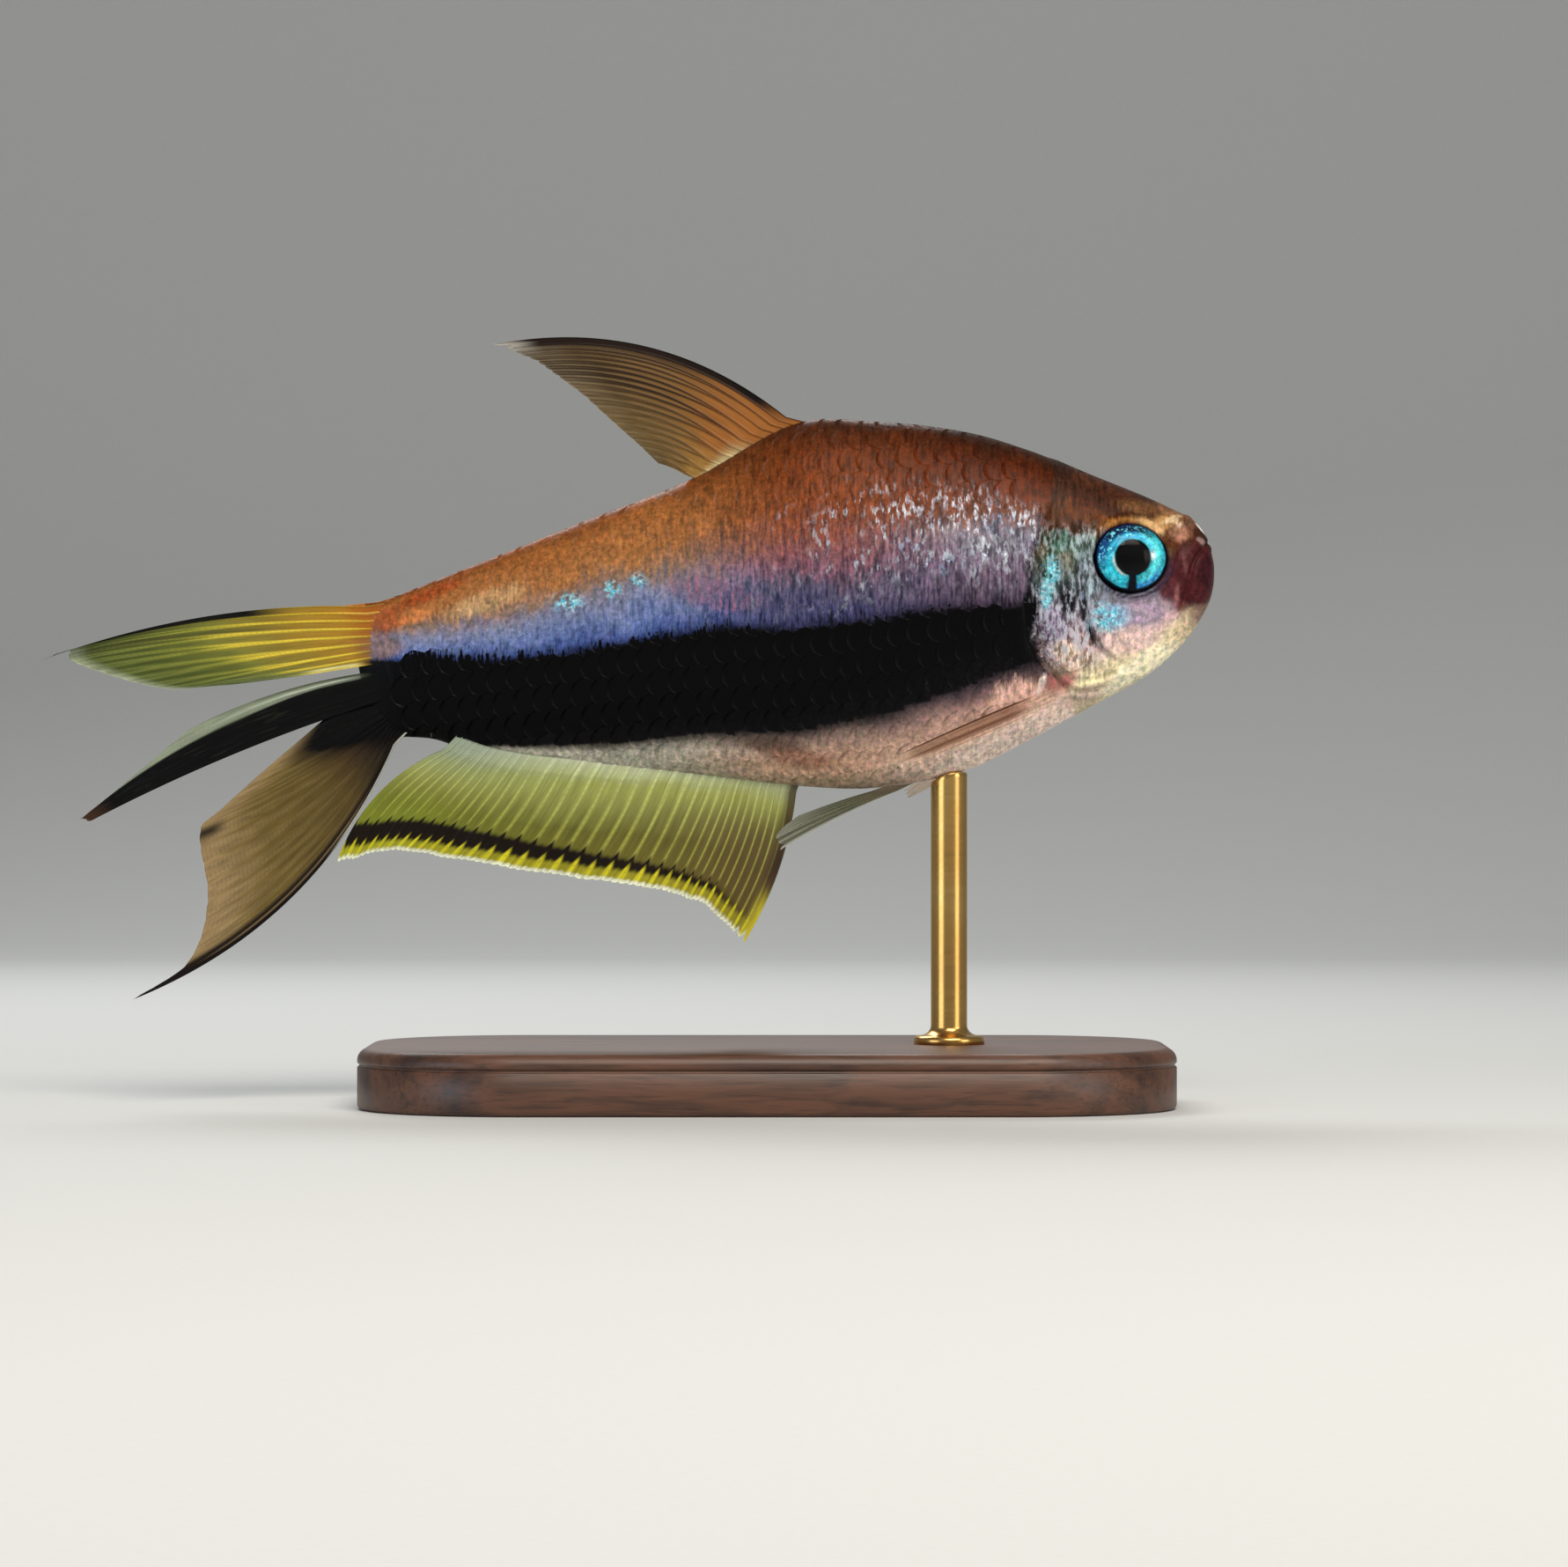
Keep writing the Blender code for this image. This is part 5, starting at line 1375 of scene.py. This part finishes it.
# %% [markdown]
# ## The dorsal fin
# It is long and swept like a sickle in males: brown and half clear, with a nearly black front edge, a warm
# root, and a thread-like tip that is out of the photograph's focus but belongs to the species.

# %% Dorsal fin
def dorsal_paint(u, v, ridge, from_margin):
    yield 0.7 * ease(0.5, 0.05, v) * (1 - 0.4 * ridge), "#aa6a2a"
    yield 0.6 * ease(0.60, 0.95, u) * ease(0.6, 0.1, v) * (1 - 0.5 * ridge), "#a08a45"
    yield 0.85 * ease(0.16, 0.02, v) * ease(0.45, 0.75, u), "#d9cf9c"
    # The front rays are dark in places, the hind ones fade into the membrane.
    uneven = 0.5 + 0.5 * np.sin(31 * u + 2.5 * np.sin(9 * u) + 3 * v)
    yield 0.70 * ridge * uneven * ease(0.80, 0.40, u) * ease(0.04, 0.18, v), "#1e130c"
    yield 0.6 * ridge * ease(0.45, 0.80, u) * ease(0.2, 0.5, v), "#7c6438"
    yield ease(0.140, 0.07, u) * ease(0.02, 0.16, v), "#120c0a"
    yield 0.65 * ease(0.30, 0.1, u) * ease(0.15, 0.5, v), "#281a13"
    yield 0.7 * ease(0.90, 0.99, v) * ease(0.3, 0.0, u), "#cfc9bc"


dorsal_finish = fin_finish(
    "dorsal_membrane_brown_smoke", ((0.0, "#9c602e"), (0.4, "#886029"), (0.8, "#78613b"), (1.0, "#8a7c62")),
    ((0.0, "#4a2410"), (0.4, "#3c2614"), (0.8, "#453320"), (1.0, "#6c5c45")), 11, 12, 0.80, 0.95)
fan("dorsal", dorsal_finish, "dorsal_fin", DORSAL_GUIDES, 11, dorsal_paint, steps=20, ripple=0.05,
    scallop=0.03, forks=(0.12, 0.55))

# %% [markdown]
# ## The anal fin
# The long anal fin is the show piece of the species. It is yellow green, paler at its root, with a dark line
# inside a bright yellow margin, and a white edge cut into fine teeth, one at the tip of each ray.

# %% Anal fin
def anal_paint(u, v, ridge, from_margin):
    yield 0.75 * ease(0.62, 0.05, u) * (1 - ridge) * ease(0.12, 0.45, v), "#5e4630"
    yield 0.65 * ease(0.50, 0.95, u) * ease(0.42, 0.0, v), "#8c9d96"
    yield 0.5 * ease(0.55, 0.9, u) * ease(0.3, 0.7, v), "#8a9a2e"
    # Yellow runs up each ray into the dark line, so the line is toothed.
    toothed = from_margin - 0.30 * ridge
    yield ease(0.84, 0.56, toothed) * (0.35 + 0.65 * ridge), "#d6ce26"
    wide = 0.13 + 0.42 * ease(0.15, 0.95, u)
    dark = ease(wide + 0.18, wide - 0.12, np.abs(toothed - 0.62 - wide))
    yield dark * ease(0.02, 0.20, u), "#1a110b"
    yield ease(0.24, 0.10, from_margin), "#e6ead0"
    yield 0.9 * ease(0.05, 0.0, u) * ease(0.65, 0.85, v), "#d2c63a"
    yield 0.8 * ease(0.050, 0.02, u) * ease(0.75, 0.6, v), "#4a382a"


anal_finish = fin_finish(
    "anal_membrane_yellow_green", ((0.0, "#c8d0ae"), (0.20, "#a9af60"), (0.6, "#6e6e2e"), (1.0, "#7c7824")),
    ((0.0, "#d8e2bc"), (0.22, "#c9d27a"), (0.6, "#a8aa4c"), (1.0, "#b0ac58")), 36, 6, 0.93)
fan("anal", anal_finish, "anal_fin", ANAL_GUIDES, 36, anal_paint, steps=12, ripple=0.10, scallop=0.06,
    forks=(0.75, 1.4))

# %% [markdown]
# ## The tail fin
# The male's tail fin has a shape of its own: a yellow upper lobe with a black upper edge, a black trident
# filament that carries the flank's band out past the lobes, and a broad smoky lower lobe with a dark leading
# edge. Its three parts lie a little apart in the photograph, so they are three fans.

# %% Upper lobe
def upper_paint(u, v, ridge, from_margin):
    yield 0.85 * ease(0.17 - 0.11 * ridge, 0.0, v), "#ac602a"
    yield 0.8 * ease(0.45, 0.9, v) * (1 - 0.6 * ridge), "#485620"
    yield 0.6 * ease(0.75, 0.95, u) * ease(0.30, 0.7, v), "#6f7c54"
    yield 0.55 * bump(u - 0.33, 0.035) * ease(0.2, 0.5, v), "#3d3a1c"
    gold = ridge * ease(0.02, 0.12, v) * ease(0.66, 0.42, v) * ease(0.12, 0.4, u)
    yield 0.95 * gold, "#ecd44a"
    yield 0.85 * bump(u - 0.95, 0.03) * ease(0.14, 0.24, v) * ease(0.55, 0.40, v), "#ece9a0"
    yield 0.85 * ease(0.20, 0.06, v) * ease(0.40, 0.10, u) * ridge, "#f0c860"
    yield 0.80 * ease(0.20, 0.05, v) * ease(0.35, 0.75, u), "#8e6244"
    yield ease(0.16, 0.08, u) * ease(0.24, 0.42, v), "#0f0d0b"
    yield 0.7 * ease(0.93, 1.0, v) * ease(0.1, 0.3, u), "#b9c2a4"
    # The warm grey that ends the blue line of the body runs a little way onto the lower rays.
    yield 0.75 * ease(0.13, 0.03, v) * ease(0.50, 0.80, u), "#8f7a6c"
    yield 0.90 * ease(0.20, 0.12, v) * ease(0.86, 0.95, u), "#2a221c"


upper_finish = fin_finish(
    "upper_tail_membrane_yellow", ((0.0, "#c27826"), (0.12, "#b48626"), (0.55, "#808238"), (1.0, "#3e4a1e")),
    ((0.0, "#d88e24"), (0.08, "#e4b832"), (0.25, "#e8ca38"), (0.6, "#a6a840"), (1.0, "#7c864e")),
    9, 15, 0.84)
fan("tail_upper_lobe", upper_finish, "caudal_fin_upper", UPPER_LOBE_GUIDES, 9, upper_paint,
    rows=90, steps=20, ripple=0.06, scallop=0.02, forks=(0.25, 0.9))

# %% Middle filament
def middle_paint(u, v, ridge, from_margin):
    start = 0.20 + 0.11 * ease(0.25, 0.50, v)
    yield 0.8 * bump(u - 0.12, 0.03) * ease(0.1, 0.25, v) * ease(0.75, 0.5, v), "#cdd6c4"
    yield ease(start - 0.05, start + 0.05, u), "#050506"
    yield ease(0.16, 0.08, v), "#050506"
    yield 0.8 * ease(0.90, 0.99, v) * ease(0.2, 0.4, u), "#4a3020"


middle_finish = fin_finish(
    "middle_tail_membrane_black", ((0.0, "#2c2e26"), (0.3, "#7c886a"), (1.0, "#97a286")),
    ((0.0, "#101010"), (0.4, "#59624c"), (1.0, "#9da68e")), 4, 15, 0.50)
fan("tail_middle_filament", middle_finish, "caudal_fin_middle", MIDDLE_RAY_GUIDES, 4,
    middle_paint, rows=90, steps=22, scallop=0.02, fray=0.006)

# %% Lower lobe
def lower_paint(u, v, ridge, from_margin):
    yield 0.55 * ease(0.78, 1.0, v), "#a58c64"
    yield 0.5 * ease(0.5, 0.2, v) * ease(0.3, 0.7, u), "#6d4a28"
    yield ease(0.22, 0.15, u) * ease(0.02, 0.12, v), "#1a120d"
    yield 0.75 * bump(u - 0.10, 0.020) * ease(0.15, 0.35, v) * ease(0.95, 0.7, v), "#a58c68"
    yield ease(0.09, 0.03, u), "#120d0b"
    # The black of the flank runs out over the root, furthest on the short upper rays.
    black = np.interp(u, (0.0, 0.2, 0.4, 0.6, 0.8, 1.0), (0.03, 0.08, 0.14, 0.22, 0.40, 1.10))
    yield 0.8 * ease(black + 0.24, black, v), "#1c140c"
    yield ease(black + 0.05, black - 0.05, v), "#040405"
    yield ease(0.84, 0.95, v) * ease(0.22, 0.10, u), "#18110e"
    yield 0.9 * bump(u - 0.60, 0.03) * ease(0.86, 0.95, v), "#1d1512"
    yield 0.9 * ease(0.055, 0.020, u) * ease(0.40, 0.26, v), "#d4d6c8"


lower_finish = fin_finish(
    "lower_tail_membrane_olive_smoke",
    ((0.0, "#33291a"), (0.35, "#57461d"), (0.7, "#6b5826"), (1.0, "#8e7642")),
    ((0.0, "#241d12"), (0.35, "#665530"), (0.7, "#7a683c"), (1.0, "#9c8560")), 10, 16, 0.84)
fan("tail_lower_lobe", lower_finish, "caudal_fin_lower", LOWER_LOBE_GUIDES, 10, lower_paint,
    rows=96, steps=20, ripple=0.06, scallop=0.012, fray=0.006, forks=(0.15, 0.6))

# %% [markdown]
# ## The paired fins
# The pelvic fins hang half folded under the belly, grey and clear. The pectorals lie back along the breast,
# so clear that little shows but a brown line on top and an orange line below.

# %% Pelvic and pectoral fins
def pelvic_paint(u, v, ridge, from_margin):
    yield 0.5 * ease(0.4, 0.0, v), "#8c7a68"
    yield 0.5 * ease(0.10, 0.03, u), "#c9ccc4"


def pectoral_paint(u, v, ridge, from_margin):
    ends = ease(0.08, 0.30, v) * ease(1.0, 0.80, v)
    yield 0.50 * ends * ease(1.0, 0.70, u), "#80543c"
    yield 0.85 * ends * ease(0.16, 0.04, u), "#4e281a"
    yield 0.65 * ends * bump(u - 0.62, 0.08), "#5c3423"
    yield 0.40 * ends * ease(0.90, 0.98, u), "#b5713f"


def far_pectoral_paint(u, v, ridge, from_margin):
    yield from pectoral_paint(u, v, ridge, from_margin)
    yield 1.0 * ease(0.62, 0.78, v), "#fffaf2"


PECTORAL_PAINT = {"right": pectoral_paint, "left": far_pectoral_paint}
pelvic_finish = fin_finish(
    "pelvic_membrane_grey", ((0.0, "#6e664c"), (0.5, "#545642"), (1.0, "#6a6c5a")),
    ((0.0, "#7f775c"), (0.5, "#797b66"), (1.0, "#96988a")), 6, 6, 0.70, 0.95)
pectoral_finish = fin_finish(
    "pectoral_membrane_clear", ((0.0, "#b58a74"), (0.6, "#c29a80"), (1.0, "#d2b49c")),
    ((0.0, "#a06c4c"), (0.6, "#b98a66"), (1.0, "#dcc2a6")), 5, 7, 0.08, 0.24)
for word, side in SIDES.items():
    fan("pelvic", pelvic_finish, "pelvic_fin", PELVIC_GUIDES, 6, pelvic_paint,
        side, "_" + word, rows=56, steps=16)
    fan("pectoral", pectoral_finish, "pectoral_fin", PECTORAL_GUIDES[word], 5, PECTORAL_PAINT[word],
        side, "_" + word, rows=56, steps=16, lead=1.0)

# %% [markdown]
# ## The stand
# A museum holds such a model on one thin rod over a small board. The board is walnut, planed, rounded at its
# edges and finished with satin lacquer, which gives soft grain and a broad sheen. The rod is brass, turned
# and polished, with a collar where it enters the board, and it ends just under the belly.

# %% Shape of the board
BASE_LENGTH, BASE_WIDTH, BASE_HEIGHT, BASE_CENTRE_X, BASE_CORNER = 40.0, 23.0, 3.0, 7.0, 8.0
CORNER_STEPS = 40
BOARD_ROUND = 0.62
# Inset from the outline and height, from the underside over the rounded edge to the top.
BOARD_PROFILE = [
    (0.22, 0.0), (0.05, 0.10), (0.0, 0.26), (0.0, 2.05), (0.05, 2.10), (0.10, 2.12), (0.10, 2.22),
    (0.05, 2.24), (0.0, 2.30)]
BOARD_PROFILE += [(BOARD_ROUND * (1 - math.cos(a)), BASE_HEIGHT - BOARD_ROUND * (1 - math.sin(a)))
                  for a in np.linspace(0, math.pi / 2, 12)]
BOARD_PROFILE += [(inset, BASE_HEIGHT) for inset in (0.9, 2.0, 4.0, 6.5)]


def board_ring(inset, height):
    radius = BASE_CORNER - inset
    half_x, half_y = BASE_LENGTH / 2 - BASE_CORNER, BASE_WIDTH / 2 - BASE_CORNER
    ring = []
    for corner, (sx, sy) in enumerate(((1, 1), (-1, 1), (-1, -1), (1, -1))):
        for turn in np.linspace(corner, corner + 1, CORNER_STEPS) * math.pi / 2:
            x = sx * half_x + radius * math.cos(turn)
            y = sy * half_y + radius * math.sin(turn)
            ring.append((BASE_CENTRE_X + x, y, height))
    return ring


def lathe_faces(rings, around):
    """Faces of stacked rings, closed by a fan at either end to the two points after them."""
    faces = grid_faces(rings, around, wrap=True, flip=True).tolist()
    low, high, last = rings * around, rings * around + 1, (rings - 1) * around
    for k in range(around):
        follow = (k + 1) % around
        faces += [(follow, k, low), (last + k, last + follow, high)]
    return faces


board = [board_ring(inset, height) for inset, height in BOARD_PROFILE]
print(len(board), "rings in the board")

# %% Walnut board
walnut, shader, add = new_finish("walnut_satin_lacquer", {
    "Roughness": 0.46, "IOR": 1.50, "Coat Weight": 0.12, "Coat Roughness": 0.30})
place = in_millimetres(add)
# Growth rings are about 1.5 mm apart on a small board, and pores 0.1 mm wide and several long.
warp = add("TexNoise", (place, 0.06, 3.0))
bent = add("VectorMath MULTIPLY_ADD", (warp.outputs["Color"], (2.0, 6.0, 6.0), place))
ring_at = add("Mapping", {"Vector": bent, "Scale": (0.02, 0.55, 0.40)})
rings_seen = add("TexNoise", (ring_at, 1.3, 4.0, 0.62))
pores = add("Mapping", {"Vector": place, "Scale": (0.35, 7.0, 7.0)})
pore = add("TexNoise", (pores, 1.0, 2.0))
wood = add("ValToRGB", (rings_seen,), (
    (0.30, "#2c1a12"), (0.45, "#4a2e1f"), (0.55, "#5c3a27"), (0.68, "#3a2318")))
dark = add("MapRange", (pore, 0.30, 0.46, 0.55, 1.0))
wood = add("VectorMath SCALE", (wood, dark))
rough = add("MapRange", (rings_seen, *NOISE, 0.40, 0.54))
relief = add("Bump", {"Strength": 0.25, "Distance": 0.03 * MM, "Height": pore})
wire(shader, {"Base Color": wood, "Roughness": rough, "Normal": relief})

ends = [(BASE_CENTRE_X, 0, 0.0), (BASE_CENTRE_X, 0, BASE_HEIGHT)]
piece("board", np.vstack([np.array(board).reshape(-1, 3), ends]), lathe_faces(len(board), 4 * CORNER_STEPS),
      walnut, "stand_base", ("stand_base",))

# %% Rod
ROD_BEHIND, ROD_RADIUS = 13.1, 0.9
COLLAR_RADIUS, COLLAR_EDGE, COLLAR_TALL = 1.75, 0.42, 0.9
ROD_SIDES = 72
REST_GAP = 0.05


def belly_level(behind, side):
    """The level of the skin under the belly at a distance from the middle plane."""
    _, belly, half, widest, _, power_down = section(behind)
    across = (np.abs(side) / half) ** (1 / power_down)
    return widest - np.sqrt(1 - across**2) * (widest - belly)


brass, shader, add = new_finish("turned_brass_polished", {"Metallic": 1.0, "Roughness": 0.22})
place = in_millimetres(add)
# Turning marks run round the rod, about 0.05 mm apart; drawn at 0.12 mm so that they show.
marks = add("Mapping", {"Vector": place, "Scale": (0.4, 0.4, 1 / 0.12)})
mark = add("TexNoise", (marks, 1.0, 2.0))
stain = add("TexNoise", (place, 0.35, 2.0))
metal_colour = add("ValToRGB", (stain,), ((0.3, "#c69b58"), (0.5, "#cfa45c"), (0.7, "#d6ad66")))
rough = add("MapRange", (mark, *NOISE, 0.22, 0.27))
relief = add("Bump", {"Strength": 0.05, "Distance": 0.005 * MM, "Height": mark})
wire(shader, {"Base Color": metal_colour, "Roughness": rough, "Normal": relief})

turn = np.linspace(0, math.tau, ROD_SIDES, endpoint=False)
rod_x = SNOUT_X - ROD_BEHIND
collar = [(COLLAR_RADIUS - 0.15, BASE_HEIGHT - 0.1), (COLLAR_RADIUS, BASE_HEIGHT + 0.02),
          (COLLAR_RADIUS, BASE_HEIGHT + 0.30), (COLLAR_RADIUS - 0.12, BASE_HEIGHT + COLLAR_EDGE)]
collar += [(ROD_RADIUS + (COLLAR_RADIUS - 0.2 - ROD_RADIUS) * (1 - math.sin(a)),
            BASE_HEIGHT + COLLAR_EDGE + (COLLAR_TALL - COLLAR_EDGE) * (1 - math.cos(a)))
           for a in np.linspace(0.1, math.pi / 2, 8)]
rod = [np.stack([rod_x + r * np.cos(turn), r * np.sin(turn), np.full(ROD_SIDES, z)], -1) for r, z in collar]
for r, drop in ((ROD_RADIUS, 0.30), (ROD_RADIUS, 0.12), (ROD_RADIUS - 0.04, 0.03), (ROD_RADIUS - 0.12, 0.0)):
    x, y = r * np.cos(turn), r * np.sin(turn)
    top = SNOUT_Z + belly_level(ROD_BEHIND - x, y) - REST_GAP - drop
    rod.append(np.stack([rod_x + x, y, top], -1))
ends = [(rod_x, 0, BASE_HEIGHT - 0.1), (rod_x, 0, SNOUT_Z + float(belly_level(ROD_BEHIND, 0.0)) - REST_GAP)]
piece("rod", np.vstack([np.array(rod).reshape(-1, 3), ends]), lathe_faces(len(rod), ROD_SIDES),
      brass, "stand_rod", ("stand_rod",))

# %% [markdown]
# ## Floor and light
# The model stands on seamless pale paper that curves up behind it, so no horizon shows. A large soft lamp
# hangs above and in front, as in a product studio. A weaker one fills from the lower front, because the
# belly is pale and should read, a third from behind lights the rims of the fins, and a small one the head.

# %% Paper sweep
paper, shader, add = new_finish("matte_seamless_paper", {"Roughness": 0.85, "IOR": 1.45})
fibre = add("TexNoise", (add("TexCoord").outputs["Object"], 3000.0, 2.0))
paper_colour = add("ValToRGB", (fibre,), ((0.3, "#c8cac8"), (0.7, "#cacccb")))
relief = add("Bump", {"Strength": 0.04, "Distance": 0.01 * MM, "Height": fibre})
wire(shader, {"Base Color": paper_colour, "Normal": relief})
SWEEP_FRONT, SWEEP_BACK, SWEEP_RADIUS, SWEEP_TALL, SWEEP_HALF = -420.0, 430.0, 180.0, 560.0, 700.0
profile = [(y, 0.0) for y in np.linspace(SWEEP_FRONT, SWEEP_BACK - SWEEP_RADIUS, 12)]
profile += [(SWEEP_BACK - SWEEP_RADIUS * (1 - math.sin(a)), SWEEP_RADIUS * (1 - math.cos(a)))
            for a in np.linspace(0.1, math.pi / 2, 16)]
profile += [(SWEEP_BACK, z) for z in np.linspace(SWEEP_RADIUS + 20, SWEEP_TALL, 6)]
sheet = np.array([[(x, y, z) for x in (-SWEEP_HALF, SWEEP_HALF)] for y, z in profile])
mesh = bpy.data.meshes.new("paper_sweep")
mesh.from_pydata((sheet.reshape(-1, 3) * MM).tolist(), [], grid_faces(len(profile), 2).tolist())
mesh.shade_smooth()
mesh.materials.append(paper)
sweep = bpy.data.objects.new("paper_sweep", mesh)
bpy.context.scene.collection.objects.link(sweep)
print(len(profile), "rows in the sweep")

# %% Lamps
# Name, place, aim, size, power in watts, colour.
LAMPS = (
    ("key", (70, -210, 250), (5, 0, 24), (200, 140), 0.92, "#fff6ea"),
    ("fill", (-230, -190, 60), (0, 0, 20), (160, 140), 0.20, "#eaf2ff"),
    ("rim", (-60, 190, 200), (0, 0, 24), (200, 90), 0.42, "#ffffff"),
    ("cheek", (170, -120, 60), (20, 0, 26), (80, 80), 0.08, "#fff9f2"),
)


def lamp(name, spot, aim, size, power, code):
    data = bpy.data.lights.new(name, "AREA")
    data.shape = "RECTANGLE"
    data.size, data.size_y = size[0] * MM, size[1] * MM
    data.energy = power
    data.color = tuple(linear(code))
    made = bpy.data.objects.new(name, data)
    made.location = Vector(spot) * MM
    made.rotation_euler = (Vector(aim) - Vector(spot)).to_track_quat("-Z", "Y").to_euler()
    bpy.context.scene.collection.objects.link(made)


for row in LAMPS:
    lamp(*row)
studio = bpy.data.worlds.new("studio")
studio.use_nodes = True
background = studio.node_tree.nodes["Background"]
background.inputs["Color"].default_value = (*linear("#e6eaee"), 1)
background.inputs["Strength"].default_value = 0.28
bpy.context.scene.world = studio
# Plain colour output, so that a hex colour under full light comes out as picked.
bpy.context.scene.view_settings.view_transform = "Standard"
print(len(LAMPS), "lamps")
